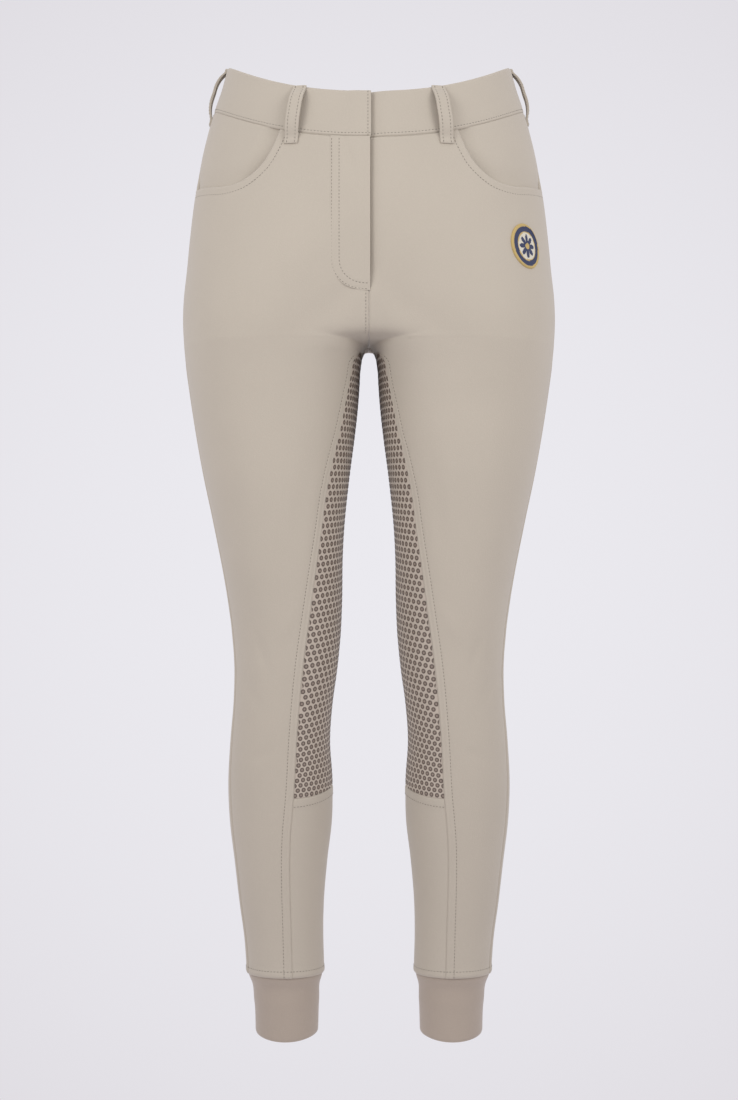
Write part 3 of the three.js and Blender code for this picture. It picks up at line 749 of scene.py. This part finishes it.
# Pocket facings: the cloth that shows in each pocket's scoop is a separate piece, sewn in at the
# waistband and the side seam, that lies behind the front panel and goes on down into the pocket.
FACING_UNDER = 12.0


def facing_spot(t, v):
    """v runs from the hidden lower edge, 0, over the mouth, 0.3, to the waistband, 1."""
    mouth = np.interp(t, mouth_share, mouth_level)
    reach_in = (t - mouth_share[0]) / (1 - mouth_share[0])
    under = FACING_UNDER * ease(np.minimum(reach_in, 1 - reach_in) / 0.25)
    top = band_level(front_spot, t)
    return front_spot(t, np.where(v < 0.3, mouth + under * (0.3 - v) / 0.3, mixed(mouth, top, (v - 0.3) / 0.7)))


facing_columns = mixed(mouth_share[0], 1.0, np.linspace(0, 1, 34))[None, :]
facing_rows = np.concatenate([np.linspace(0, 0.3, 6)[:-1], np.linspace(0.3, 1, 22)])[:, None]
facing_p = facing_spot(facing_columns, facing_rows)
facing_n = outward(facing_p)
d_mouth = away(facing_p, mouth_line) * np.where(facing_rows < 0.3, -1, 1)
d_front, d_side, _, d_band = distances(facing_p)
facing_lift = -2.6 * (1 - ease((d_mouth - 1) / 20)) - 0.5 * bump(d_side, 0, 1.0) - 0.4 * bump(d_band, 0, 0.8)
facing_lift -= 2.4 * bump(facing_p[..., 0], 110, 16) * (1 - ease(d_mouth / 15))
facing_lift += 0.25 * np.sin(d_mouth / 9) * np.sin(facing_p[..., 0] / 13) * ease(d_mouth / 10)
facing = (facing_p, facing_n, facing_lift)
for name, side in SIDES:
    piece = cloth_piece(
        f"scoop_facing_{name}",
        f"pocket_facing_{name}",
        [facing],
        CLOTH_WALL,
        side,
        shell_cloth,
    )

# Back panels: each runs from the waistband down over the hip and the outside of the leg to the hem,
# and is cut away round the seat and the inside of the leg, where the grip panel is sewn in.
SEAT_WIDTH = 121.0
SEAT_HEIGHT = 86.0
CORNER = math.pi / 4
# down, x of the grip panel's edge, seen from behind
REAR_SEAM = np.array(
    [(253, 121), (305, 114), (405, 101), (505, 91), (605, 84), (705, 82), (877, 80)], float
)
rear_x = np.where(
    LINE < CROTCH,
    SEAT_WIDTH * np.sqrt(np.maximum(0, 1 - ((CROTCH - LINE) / SEAT_HEIGHT) ** 2)),
    smooth(REAR_SEAM, 1, LINE),
)
rear_line = angle_at(1, rear_x, LINE)


def rear_edge(down):
    return np.interp(down, LINE, rear_line)


def back_angle(t, down):
    return mixed(centre_angle(1, down), side_edge(down) + 2 * math.pi, t)


corner_down = CROTCH - SEAT_HEIGHT * math.sin(CORNER)
corner_centre = centre_angle(1, corner_down)
corner_share = float(
    (rear_edge(corner_down) - corner_centre)
    / (side_edge(corner_down) + 2 * math.pi - corner_centre)
)


seat_level = [CROTCH - 3 * np.linspace(0, 1, 25) ** 2.8, np.arange(249, CROTCH - SEAT_HEIGHT - 1, -1.0)]
seat_level = np.concatenate(seat_level)
seat_run = np.linalg.norm(np.diff(around(centre_angle(1, seat_level), seat_level), axis=0), axis=1)
seat_run = np.pad(np.cumsum(seat_run), (1, 0))
seat_length = np.interp(SEAT_HEIGHT, CROTCH - seat_level, seat_run)


def seat_place(s, v):
    """Angle and level on the grip panel's seat: s from the centre to the side, v from crotch to top."""
    rear = np.sin(CORNER * v)
    middle = CROTCH - np.interp(v * seat_length, seat_run, seat_level)
    share = mixed(middle * math.cos(CORNER) / SEAT_HEIGHT, rear, s)
    down = CROTCH - SEAT_HEIGHT * np.cos(CORNER * s) * share / math.cos(CORNER)
    return mixed(centre_angle(1, down), rear_edge(CROTCH - SEAT_HEIGHT * rear), s), down


def back_top(t, v):
    """The back above the grip panel: v from the waistband to the grip panel's top or the yoke line."""
    start = band_level(lambda share, down: around(back_angle(share, down), down), t)
    seat_angle, seat_down = seat_place(np.minimum(t / corner_share, 1), 1.0)
    outer = np.maximum(0, (t - corner_share) / (1 - corner_share))
    end = np.where(t <= corner_share, seat_down, mixed(corner_down, YOKE, outer))
    down = mixed(start, end, v)
    turn = np.where(t <= corner_share, seat_angle - back_angle(t, end), 0)
    return around(back_angle(t, down) + turn * v**2, down)


def back_low(u, level):
    """The back beside the grip panel: u from its edge to the side seam, level that of the side seam."""
    w = np.clip((level - YOKE) / (CROTCH - YOKE), 0, 1)
    rear = np.where(level < CROTCH, CROTCH - SEAT_HEIGHT * np.sin(CORNER * (1 - w)), level)
    down = mixed(rear, level, u)
    angle = mixed(rear_edge(rear), side_edge(down) + 2 * math.pi, u)
    first = back_angle(mixed(corner_share, 1, u), down)
    return around(mixed(angle, first, (1 - w) ** 2 * (level < CROTCH)), down)


low_shares = columns(back_low, low_rows, DOUBLE_EDGE, FINE_EDGE, 54)
seat_shares = columns(lambda u, v: back_top(u * corner_share, v), [1.0], FINE_EDGE, NO_EDGE, 26)
high_shares = np.concatenate(
    [seat_shares[0, :-1] * corner_share, mixed(corner_share, 1, low_shares[0])]
)
back_rows = np.concatenate([FINE_EDGE / 160, np.arange(10, 148, 4.0) / 160, 1 - DOUBLE_EDGE[::-1] / 160])
rear_full = np.concatenate(
    [
        back_top(np.linspace(0, corner_share, 80), 1.0),
        back_low(0.0, np.linspace(YOKE, HEM, 300)),
    ]
)
back = []
for p in (
    back_top(high_shares[None, :], back_rows[:, None]),
    back_low(low_shares, low_rows[:, None]),
):
    n = outward(p)
    d_middle, d_side, d_band, d_hem = distances(p)
    d_grip = away(p, rear_full)
    lift = creased(p, n) - 1.5 * bump(d_side, 0, 1.5) + 0.4 * bump(d_side, 3.2, 2.0)
    lift += 0.4 * ease((9.0 - d_grip) / 1.6) - 0.6 * bump(d_grip, 0, 0.6)
    lift += 0.2 * bump(d_grip, 1.7, 0.8) - 0.6 * bump(d_grip, 3.1, 0.6) - 0.35 * bump(d_grip, 8.2, 0.8)
    if not back:
        lift -= 1.2 * bump(d_middle, 0, 0.8) + 1.2 * bump(d_band, 0, 0.8)
    else:
        lift += 0.25 * ease((7.6 - d_hem) / 1.5) - 0.8 * bump(d_hem, 0, 1.2) - 0.2 * bump(d_hem, 6.7, 0.7)
    back.append((p, n, lift))


def beside_rear(distance):
    """A line on the back panel at a distance from the grip panel's edge."""
    p = rear_full[::2]
    n = outward(p)
    off = np.cross(n, np.gradient(p, axis=0))
    off /= np.linalg.norm(off, axis=1, keepdims=True)
    if off[20, 2] < 0:
        off = -off
    q = (p + off * distance)[3:]
    n = outward(q)
    return q + n * (creased(q, n) + 0.3)[:, None], n


back_hem = tuple(a[::-1] for a in back[1])
back_sewing = [
    beside_rear(8.2),
    line_at(*turned(back_hem, distances(back[1][0])[3][::-1]), 6.7),
]
for name, side in SIDES:
    piece = cloth_piece(
        f"back_panel_{name}", f"back_{name}", back, CLOTH_WALL, side, shell_cloth
    )
    stitches(f"back_stitches_{name}", back_sewing, side, thread_with_painted_shade)

# Seat grips: one piece of the same cloth on each side, from the rounded top over the seat round the
# inside of the thigh to below the knee, printed all over with soft silicone dots in staggered rows.
GRIP_END = 698.5
GRIP_RISE = 8.0
# level, distance between neighbouring dots, how far a row rises for each millimetre inward
DOT_LINES = np.array(
    [
        (160, 6.93, 0),
        (345, 6.93, 0),
        (425, 6.93, 0.07),
        (535, 6.93, 0.135),
        (560, 6.93, 0.145),
        (625, 6.6, 0.16),
        (700, 6.25, 0.05),
    ]
)
DOT_RADIUS = 0.385  # as a share of the distance between dots
DOT_HEIGHT = 0.25
ROW_SHARE = math.sqrt(0.75)  # a row lies this share of the dots' distance below the last one
GRIP_COLOR = (0.495, 0.425, 0.352)
grip_cloth = woven("grip_cloth", GRIP_COLOR, 0.8, 0.2, 900.0, 0.25)
dot_rubber = plain_material("dot_rubber", (0.125, 0.095, 0.075), 0.5)
# Each dot's flat top takes a lighter colour: a painted highlight on the glossy dome.
dot_painted_highlight = plain_material("dot_painted_highlight", (0.27, 0.21, 0.17), 0.5)


def inner_spot(c, level):
    """The inside of the leg: c from -1 at the front seam over 0, straight inward, to 1 at the rear seam."""
    edge = np.where(c < 0, front_edge(level), rear_edge(level))
    return around(mixed(math.pi, edge, np.abs(c)), level)


def grip_low(c, level):
    """The grip panel below the crotch, whose lower end slants up a little towards the rear seam."""
    near = ease((level - GRIP_END + 60) / 60)
    return inner_spot(c, level - near * GRIP_RISE * ease((1 + c)))


grip_rows = [np.arange(CROTCH, 277, 1.5), np.arange(277, GRIP_END - 7, 4.0), GRIP_END - FINE_EDGE[::-1]]
grip_rows = np.concatenate(grip_rows)
front_shares = columns(lambda u, level: grip_low(u - 1, level), grip_rows, FINE_EDGE, NO_EDGE, 16)
rear_shares = columns(grip_low, grip_rows, NO_EDGE, FINE_EDGE, 34)
grip_shares = np.concatenate([front_shares - 1, rear_shares[:, 1:]], 1)
seat_columns = rear_shares[0]
seat_v = np.linspace(0, 1, 44)
seat_p = around(*seat_place(seat_columns[None, :], seat_v[::-1, None]))
low_p = grip_low(grip_shares, grip_rows[:, None])
grip = []
for p in (seat_p, low_p):
    n = outward(p)
    d_left, d_right, d_top, d_bottom = distances(p)
    lift = creased(p, n) - 0.45 * bump(d_right, 0, 1.0)
    if not grip:
        lift -= 0.45 * bump(d_top, 0, 1.0) + 0.55 * bump(d_left, 0, 1.0) * ease(d_bottom / 12)
    else:
        lift -= (0.45 * bump(d_left, 0, 1.0) + 0.4 * bump(d_bottom, 0, 0.8)) * ease(d_top / 12)
    grip.append((p, n, lift))


def dot_rows():
    """The dots' rows: spacing, stagger and points of each, with the length at which its columns start."""
    rows = []
    fine = np.linspace(-1, 1, 161)
    level, number = CROTCH, 0
    while level < GRIP_END + 10:
        pitch = float(smooth(DOT_LINES, 1, level))
        p = inner_spot(fine, level)
        run = np.pad(np.cumsum(np.linalg.norm(np.diff(p, axis=0), axis=1)), (1, 0))
        inward = np.minimum(run - run[80], 25.0)
        down = np.maximum(level - float(smooth(DOT_LINES, 2, level)) * inward, CROTCH)
        rows.append((pitch, number % 2, inner_spot(fine, down)))
        level += pitch * ROW_SHARE
        number += 1
    pitch = DOT_LINES[0, 1]
    level, number = CROTCH - pitch * ROW_SHARE, 1
    while level > CROTCH - SEAT_HEIGHT:
        x = np.linspace(0, SEAT_WIDTH * math.sqrt(1 - ((CROTCH - level) / SEAT_HEIGHT) ** 2), 90)
        rows.append((pitch, number % 2, straight(1, x, level)))
        level -= pitch * ROW_SHARE
        number += 1
    return rows


def dots(name, side):
    ring = np.arange(12) * math.pi / 6
    points = []
    for pitch, stagger, row in dot_rows():
        run = np.pad(np.cumsum(np.linalg.norm(np.diff(row, axis=0), axis=1)), (1, 0))
        on_seat = len(row) == 90
        zero = 0.0 if on_seat else run[80]
        numbers = np.arange(-60, 61) + 0.5 * stagger
        at = numbers * pitch + zero
        at = at[(at >= run[0] - 1.2 + 2.1 * on_seat) & (at <= run[-1] + 1.2)]
        centre = np.stack([np.interp(at, run, row[:, k]) for k in range(3)], -1)
        end = GRIP_END - GRIP_RISE * ease(1 + np.interp(at, run, np.linspace(-1, 1, len(row))))
        room_below = end + centre[:, 2] if zero else np.full(len(at), 9.0)
        shown = room_below > -0.5
        at, centre, room_below = at[shown], centre[shown], room_below[shown]
        if not len(at):
            continue
        n = outward(centre)
        ahead = np.stack(
            [np.interp(at + 1, run, row[:, k]) - np.interp(at - 1, run, row[:, k]) for k in range(3)], -1
        )
        ahead /= np.maximum(np.linalg.norm(ahead, axis=1, keepdims=True), 1e-9)
        up = np.cross(n, ahead)
        room_left = run[0] - at
        room_right = run[-1] - at
        base = centre + n * creased(centre, n)[:, None]
        for share, high in ((1.0, -0.1), (0.8, DOT_HEIGHT), (0.4, 0.12)):
            radius = share * DOT_RADIUS * pitch
            u = radius * np.cos(ring)[None, :]
            u = np.clip(u, room_left[:, None] + 0.3, room_right[:, None] - 0.3)
            v = np.minimum(radius * np.sin(ring)[None, :], room_below[:, None] - 0.4)
            points.append(
                base[:, None]
                + ahead[:, None] * u[..., None]
                + up[:, None] * v[..., None]
                + n[:, None] * high
            )
        points[-3:] = [np.concatenate(points[-3:], 1)]
    grains = np.concatenate(points)
    count = len(grains)
    shape, looks = [], []
    for k in range(12):
        m = (k + 1) % 12
        shape += [(k, m, 12 + m, 12 + k), (12 + k, 12 + m, 24 + m, 24 + k)]
        looks += [0, 0]
    # The top face takes the second material, the painted highlight.
    shape.append(tuple(range(24, 36)))
    looks.append(1)
    faces, kinds = [], []
    for face, look in zip(shape, looks):
        order = np.array(face[:: int(side)])
        faces += (np.arange(count)[:, None] * 36 + order).tolist()
        kinds += [look] * count
    mesh = bpy.data.meshes.new(name)
    mesh.from_pydata((grains.reshape(-1, 3) * (side, 1, 1) / 1000).tolist(), [], faces)
    mesh.polygons.foreach_set("material_index", kinds)
    mesh.polygons.foreach_set("use_smooth", np.ones(len(faces), bool))
    return placed(name, mesh, [dot_rubber, dot_painted_highlight])


for name, side in SIDES:
    piece = cloth_piece(
        f"grip_panel_{name}", f"seat_grip_{name}", grip, CLOTH_WALL, side, grip_cloth
    )
    dots(f"grip_dots_{name}", side)

# Inner calves: a plain piece of the shell cloth goes on from the grip panel down to the hem. The seam
# between the two is turned down and sewn with one row of stitches.
calf_rows = np.concatenate([GRIP_END + FINE_EDGE, np.arange(GRIP_END + 10, HEM - 8, 4.0), HEM - FINE_EDGE[::-1]])


def calf_spot(c, level):
    near = ease(1 - (level - GRIP_END) / 60)
    return inner_spot(c, level - near * GRIP_RISE * ease((1 + c)))


calf_front = columns(lambda u, level: calf_spot(u - 1, level), calf_rows, FINE_EDGE, NO_EDGE, 14)
calf_rear = columns(calf_spot, calf_rows, NO_EDGE, FINE_EDGE, 14)
calf_p = calf_spot(np.concatenate([calf_front - 1, calf_rear[:, 1:]], 1), calf_rows[:, None])
calf_n = outward(calf_p)
d_left, d_right, d_top, d_hem = distances(calf_p)
calf_lift = creased(calf_p, calf_n) - 0.45 * bump(np.minimum(d_left, d_right), 0, 1.0)
calf_lift += 0.5 * ease((9.6 - d_top) / 1.5) - 0.6 * bump(d_top, 0, 0.7) - 0.2 * bump(d_top, 8.0, 0.7)
calf_lift += 0.25 * ease((7.6 - d_hem) / 1.5) - 0.8 * bump(d_hem, 0, 1.2) - 0.2 * bump(d_hem, 6.7, 0.7)
calf = (calf_p, calf_n, calf_lift)
calf_sewing = [
    line_at(*turned(calf, d_top), 8.0),
    line_at(*turned(tuple(a[::-1] for a in calf), d_hem[::-1]), 6.7),
]
for name, side in SIDES:
    piece = cloth_piece(
        f"calf_panel_{name}", f"inner_calf_{name}", [calf], CLOTH_WALL, side, shell_cloth
    )
    stitches(f"calf_stitches_{name}", calf_sewing, side, thread_with_painted_shade)

# Waistband: a high shaped band of two layers of cloth in two halves, turned in at the top and sewn to
# the panels. Its right end is a tab that closes over the left end at the centre of the front.
BAND_WALL = 2.4
TAB_REACH = 2.0
TAB_RISE = 1.35
UNDERLAP = 16.0
BLEND_TO = 22.0  # how far from the centre the end's own step is gone


def band_half(side):
    """The grid of one half, from its front end round to the centre back."""
    end = -TAB_REACH if side < 0 else -UNDERLAP
    near = end + FINE_EDGE
    near = np.concatenate([near, np.arange(near[-1] + 3, BLEND_TO, 3.0)])
    v = np.concatenate([FINE_EDGE, np.arange(10, 37, 2.5), BAND_HEIGHT - FINE_EDGE[::-1]])[:, None]
    groups = []
    start = seam_level(lambda down: straight(-1, near, down))
    groups.append(straight(-1, near[None, :], start - BAND_HEIGHT + v))
    level = seam_level(lambda down: straight(-1, BLEND_TO + 3, down))
    angle = angle_at(-1, np.array([BLEND_TO + 3]), level)[0]
    edge = front_edge(level)
    first = float((edge - angle) / (edge - side_edge(level)))
    t = np.linspace(first, 1, 72)
    groups.append(front_spot(t[None, :], band_level(front_spot, t) - BAND_HEIGHT + v))
    back_spot = lambda share, down: around(back_angle(share, down), down)
    t = np.linspace(1, 0, 80)[1:]
    t = np.concatenate([t[:-1][t[:-1] * 158 > 7], FINE_EDGE[::-1] / 158])
    groups.append(back_spot(t[None, :], band_level(back_spot, t) - BAND_HEIGHT + v))
    p = np.concatenate(groups, 1)
    n = outward(p)
    d_end, d_back, d_top, d_seam = distances(p)
    step = TAB_RISE * ease((BLEND_TO - np.maximum(p[..., 0], 0)) / (BLEND_TO - 13 if side < 0 else BLEND_TO - 5))
    lift = -step if side > 0 else step
    if side > 0:
        lift = lift - (SINK + 1.0 - TAB_RISE) * bump(np.maximum(p[..., 0], 0), 0, SINK_WIDTH) * (p[..., 1] < 0)
    lift = lift - 0.9 * bump(d_top, 0, 1.2) - 1.2 * bump(d_seam, 0, 0.8) - 0.3 * bump(d_seam, 3.2, 0.7)
    lift -= 0.5 * bump(d_back, 0, 1.0) + 0.6 * bump(d_end, 0, 1.0)
    if side < 0:
        lift -= 0.18 * bump(d_end, 3.0, 0.6)
    lift += 0.2 * np.sin(d_end / 17 + side) * np.sin(d_top / 14)
    patch = (p, n, lift)
    up = tuple(a[::-1] for a in patch)
    sewing = [line_at(*turned(up, d_seam[::-1]), 3.2)]
    if side < 0:
        sewing.append(line_at(patch, d_end, 3.0))
    return patch, sewing


for name, side in SIDES:
    patch, sewing = band_half(side)
    piece = cloth_piece(
        f"band_half_{name}", f"waistband_{name}", [patch], BAND_WALL, side, shell_cloth
    )
    stitches(f"band_stitches_{name}", sewing, side, thread_with_painted_shade)

# Fly: the right front's edge is faced with a strip that laps over the left one and hides the zip. Two
# rows of stitches hold it, straight down from the waistband and round in a J to the centre seam.
FLY_WIDTH = 35.6
FLY_TURN = 177.0
FLY_DROP = 29.7
FLY_REACH = 1.2
FLY_SQUARE = 2.3
FOLD_X = 20.5  # middle of a soft slanting fold in the strip
FOLD_DOWN = 77.0
FOLD_SLANT = math.radians(105)
FOLD_DEPTH = 1.1


def fly_curve(a, width, drop):
    """x and down of the J's lower end: a quarter turn from straight below the opening to its side."""
    return width * np.sin(a) ** (2 / FLY_SQUARE), FLY_TURN + drop * np.cos(a) ** (2 / FLY_SQUARE)


def fly_lift(x, down):
    """How far the strip stands off: full at the opening, down to nothing at the outer J."""
    inside = (
        np.maximum(x, 0) / (FLY_WIDTH + 1.3)
    ) ** FLY_SQUARE + (np.maximum(down - FLY_TURN, 0) / (FLY_DROP + 1.3)) ** FLY_SQUARE
    room = (1 - inside ** (1 / FLY_SQUARE)) * FLY_WIDTH
    lift = 0.15 + 0.75 * ease(room / 9) - 0.2 * bump(room, 1.3, 0.7) - 0.2 * bump(room, 8.5, 0.8)
    c, s = math.cos(FOLD_SLANT), math.sin(FOLD_SLANT)
    off = (x - FOLD_X) * s - (down - FOLD_DOWN) * c
    on = (x - FOLD_X) * c + (down - FOLD_DOWN) * s
    lift = lift - FOLD_DEPTH * bump(off, 0, 4.0) * bump(on, 0, 24.0)
    return lift + 0.9 * ease((7 - x) / 7) - 0.5 * bump(x, -FLY_REACH, 0.5)


a = np.linspace(0, 1, 34)
a = np.concatenate([a, 1 - np.array([0.002, 0.006, 0.012])])
a = np.unique(a)[None, :] * math.pi / 2
x, end = fly_curve(a, FLY_WIDTH + 1.3 + FLY_REACH, FLY_DROP + 1.3)
x = x - FLY_REACH
start = seam_level(lambda down: straight(-1, x, down))
v = np.concatenate([np.linspace(0, 0.93, 44), np.linspace(0.93, 1, 8)[1:]])[:, None]
fly_p = straight(-1, x + 0 * v, mixed(start, end, v))
fly_n = outward(fly_p)
fly = (fly_p, fly_n, fly_lift(fly_p[..., 0], -fly_p[..., 2]))
piece = cloth_piece("fly_strip", "fly_placket", [fly], 0.9, -1.0, shell_cloth)
fly_sewing = []
for width, drop, last in ((FLY_WIDTH, FLY_DROP, 0.02), (28.4, 24.3, 0.01)):
    x, down = fly_curve(np.linspace(math.pi / 2, last, 60), width, drop)
    down = np.concatenate([np.arange(62.0, FLY_TURN, 2.0), down])
    x = np.concatenate([np.full(len(down) - len(x), width), x])
    q = straight(-1, x, down)
    n = outward(q)
    fly_sewing.append((q + n * fly_lift(x, down)[:, None], n))
down = np.arange(FLY_TURN + FLY_DROP + 3, CROTCH - 4, 2.0)
q = straight(-1, 3.0 + 0 * down, down)
n = outward(q)
fly_sewing.append((q + n * (creased(q, n) - 0.05)[:, None], n))
stitches("fly_stitches", fly_sewing, -1.0, thread_with_painted_shade)

# Belt loops: five straps of folded cloth with two rows of stitches, tacked down at the top of the
# waistband and just below it, and standing off it between.
LOOP_WIDTH = 12.6
LOOP_WALL = 1.8
LOOP_TAIL = 12.0
# share of the way down, share of the gap at which the strap stands off
LOOP_LINE = np.array(
    [(0, 0), (0.05, 0), (0.15, 0.55), (0.28, 0.95), (0.45, 1), (0.62, 0.95), (0.77, 0.6), (0.9, 0.05), (1, 0)]
)


def loop_piece(name, place, gap, side):
    level = seam_level(lambda down: place(0.0, down))
    v = np.linspace(0, 1, 40)[:, None]
    u = np.concatenate([[-6.3, -6.1, -5.7, -5.1], np.linspace(-4.4, 4.4, 9), [5.1, 5.7, 6.1, 6.3]])[None, :]
    down = mixed(level - BAND_HEIGHT + 0.5, level + LOOP_TAIL, v)
    p = place(u + 0 * v, down + 0 * u)
    n = outward(p)
    stand = np.clip(smooth(LOOP_LINE, 1, v), 0, 1.03)
    lift = 0.35 + LOOP_WALL + (gap - 0.35) * stand
    d_left, d_right, d_top, d_end = distances(p)
    rim = np.minimum(d_left, d_right)
    lift = lift - 0.5 * bump(rim, 0, 0.6) - 0.2 * bump(rim, 2.7, 0.5) - 0.4 * bump(np.minimum(d_top, d_end), 0, 0.8)
    patch = (p, n, lift)
    piece = cloth_piece(
        name.replace("belt_", ""), name, [patch], LOOP_WALL, side, shell_cloth
    )
    sewing = [line_at(patch, d_left, 2.7), line_at(*flipped(patch, d_right), 2.7)]
    stitches(name.replace("belt_loop", "loop_stitches"), sewing, side, thread_with_painted_shade)


def front_loop(u, down):
    return straight(-1, 66 + (down - 10) * 8.5 / 56 + u, down)


def side_loop(u, down):
    s = section(down)
    return around(u / (s["outer"] - (s["outer"] + np.maximum(s["inner"], 0)) / 2), down)


def back_loop(u, down):
    return straight(1, u, down)


for name, side in SIDES:
    loop_piece(f"belt_loop_front_{name}", front_loop, 7.0, side)
    loop_piece(f"belt_loop_side_{name}", side_loop, 6.5, side)
loop_piece("belt_loop_back", back_loop, 6.0, 1.0)

# Cuffs: tubes of fine elastic knit in two layers, sewn in behind the hem, that close in round the ankle
# and keep the leg from riding up in the boot.
CUFF_END = 935.0
CUFF_DROP = 5.0  # how much lower the cuff ends in front
# down, distance off the leg's form
CUFF_LINE = np.array([(866, -2.5), (874.5, -2.5), (880, -1.2), (888, 0), (912, 0), (935, 0)])
KNIT_COLOR = (0.405, 0.337, 0.275)
cuff_knit = woven("cuff_knit", KNIT_COLOR, 0.9, 0.3, 1100.0, 0.35)
cuff_rows = np.concatenate([np.arange(866, CUFF_END - 6, 2.5), CUFF_END - FINE_EDGE[:-1][::-1]])[:, None]
cuff_turn = np.linspace(0, 2 * math.pi, 121)[None, :]
cuff_drop = CUFF_DROP * np.clip((cuff_rows - 888) / (CUFF_END - 888), 0, 1)
cuff_p = around(cuff_turn, cuff_rows + cuff_drop * np.maximum(0, np.sin(cuff_turn)) ** 2)
cuff_p[:, -1] = cuff_p[:, 0]
cuff_n = outward(cuff_p)
d_end = CUFF_END - cuff_rows
cuff_lift = smooth(CUFF_LINE, 1, cuff_rows) - 0.6 * bump(d_end, 0, 1.3)
cuff_lift = cuff_lift + 0.25 * np.sin(3 * cuff_turn + cuff_rows / 19) * ease((cuff_rows - 884) / 10)
cuff = (cuff_p, cuff_n, cuff_lift)
for name, side in SIDES:
    piece = cloth_piece(f"knit_cuff_{name}", f"cuff_{name}", [cuff], CLOTH_WALL, side, cuff_knit)

# Hip patch: an upright oval embroidered badge on the left hip, dark blue with a gold cord round it and
# an eight-petalled rosette on a pale field. Its thread lies in fine slanting rows.
PATCH_DOWN = 161.0
PATCH_X = 152.0
PATCH_HALF = (20.0, 22.0)


def embroidery(name, color, angle):
    material = plain_material(name, color, 0.55)
    nodes = material.node_tree.nodes
    link = material.node_tree.links.new
    place = nodes.new("ShaderNodeTexCoord")
    turn = nodes.new("ShaderNodeMapping")
    turn.inputs["Rotation"].default_value = (0.0, math.radians(angle), 0.0)
    rows = nodes.new("ShaderNodeTexWave")
    rows.inputs["Scale"].default_value = 380.0
    rows.inputs["Distortion"].default_value = 1.5
    raised = nodes.new("ShaderNodeBump")
    raised.inputs["Strength"].default_value = 0.5
    raised.inputs["Distance"].default_value = 0.0004
    link(place.outputs["Object"], turn.inputs["Vector"])
    link(turn.outputs["Vector"], rows.inputs["Vector"])
    link(rows.outputs["Fac"], raised.inputs["Height"])
    link(raised.outputs["Normal"], nodes["Principled BSDF"].inputs["Normal"])
    return material


patch_threads = [
    embroidery("patch_navy", (0.022, 0.032, 0.085), 35),
    embroidery("patch_gold", (0.50, 0.36, 0.13), -40),
    embroidery("patch_cream", (0.62, 0.58, 0.48), 10),
]
middle = angle_at(-1, np.array([PATCH_X]), np.array([PATCH_DOWN]))[0]
s = section(PATCH_DOWN)
hub = np.array([(s["outer"] + max(float(s["inner"]), 0)) / 2, (s["front"] + s["back"]) / 2, -PATCH_DOWN])
arm = np.linalg.norm(around(middle, PATCH_DOWN) - hub)
rings = np.concatenate([np.linspace(0, 0.86, 24), np.array([0.885, 0.91, 0.94, 0.97, 0.99, 1.0])])[:, None]
turns = np.linspace(0, 2 * math.pi, 97)[None, :]
u = PATCH_HALF[0] * rings * np.cos(turns)
v = PATCH_HALF[1] * rings * np.sin(turns)
patch_p = around(middle + u / arm, PATCH_DOWN + v)
patch_p[:, -1] = patch_p[:, 0]
patch_n = outward(patch_p)
cord = 0.7 * bump(rings, 0.93, 0.045) + 0.25 * bump(rings, 0.62, 0.03)
petal = 0.17 + 0.36 * np.abs(np.cos(4 * turns)) ** 0.7
patch_lift = 1.35 + cord + 0.3 * ease((petal - rings) / 0.04) - 0.8 * ease((rings - 0.975) / 0.025)
mesh = cloth_mesh("hip_patch", [(patch_p, patch_n, patch_lift + 0 * turns)], 1.0, 1.0)
centres = np.empty(len(mesh.polygons) * 3)
mesh.polygons.foreach_get("center", centres)
centres = centres.reshape(-1, 3) * 1000
hub_p = around(middle, PATCH_DOWN)
tangent = np.cross([0, 0, 1], outward(hub_p))
u = (centres - hub_p) @ tangent / PATCH_HALF[0]
v = (centres[:, 2] + PATCH_DOWN) / PATCH_HALF[1]
ring_at = np.hypot(u, v)
petal_at = 0.17 + 0.36 * np.abs(np.cos(4 * np.arctan2(v, u))) ** 0.7
kinds = np.full(len(centres), 0)
kinds[ring_at < 0.60] = 2
kinds[(ring_at >= 0.60) & (ring_at < 0.65)] = 1
kinds[ring_at < petal_at] = 0
kinds[ring_at < 0.14] = 1
kinds[ring_at > 0.88] = 1
mesh.polygons.foreach_set("material_index", kinds.astype(np.int32))
piece = placed("hip_badge", mesh, patch_threads)
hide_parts("hip_patch")
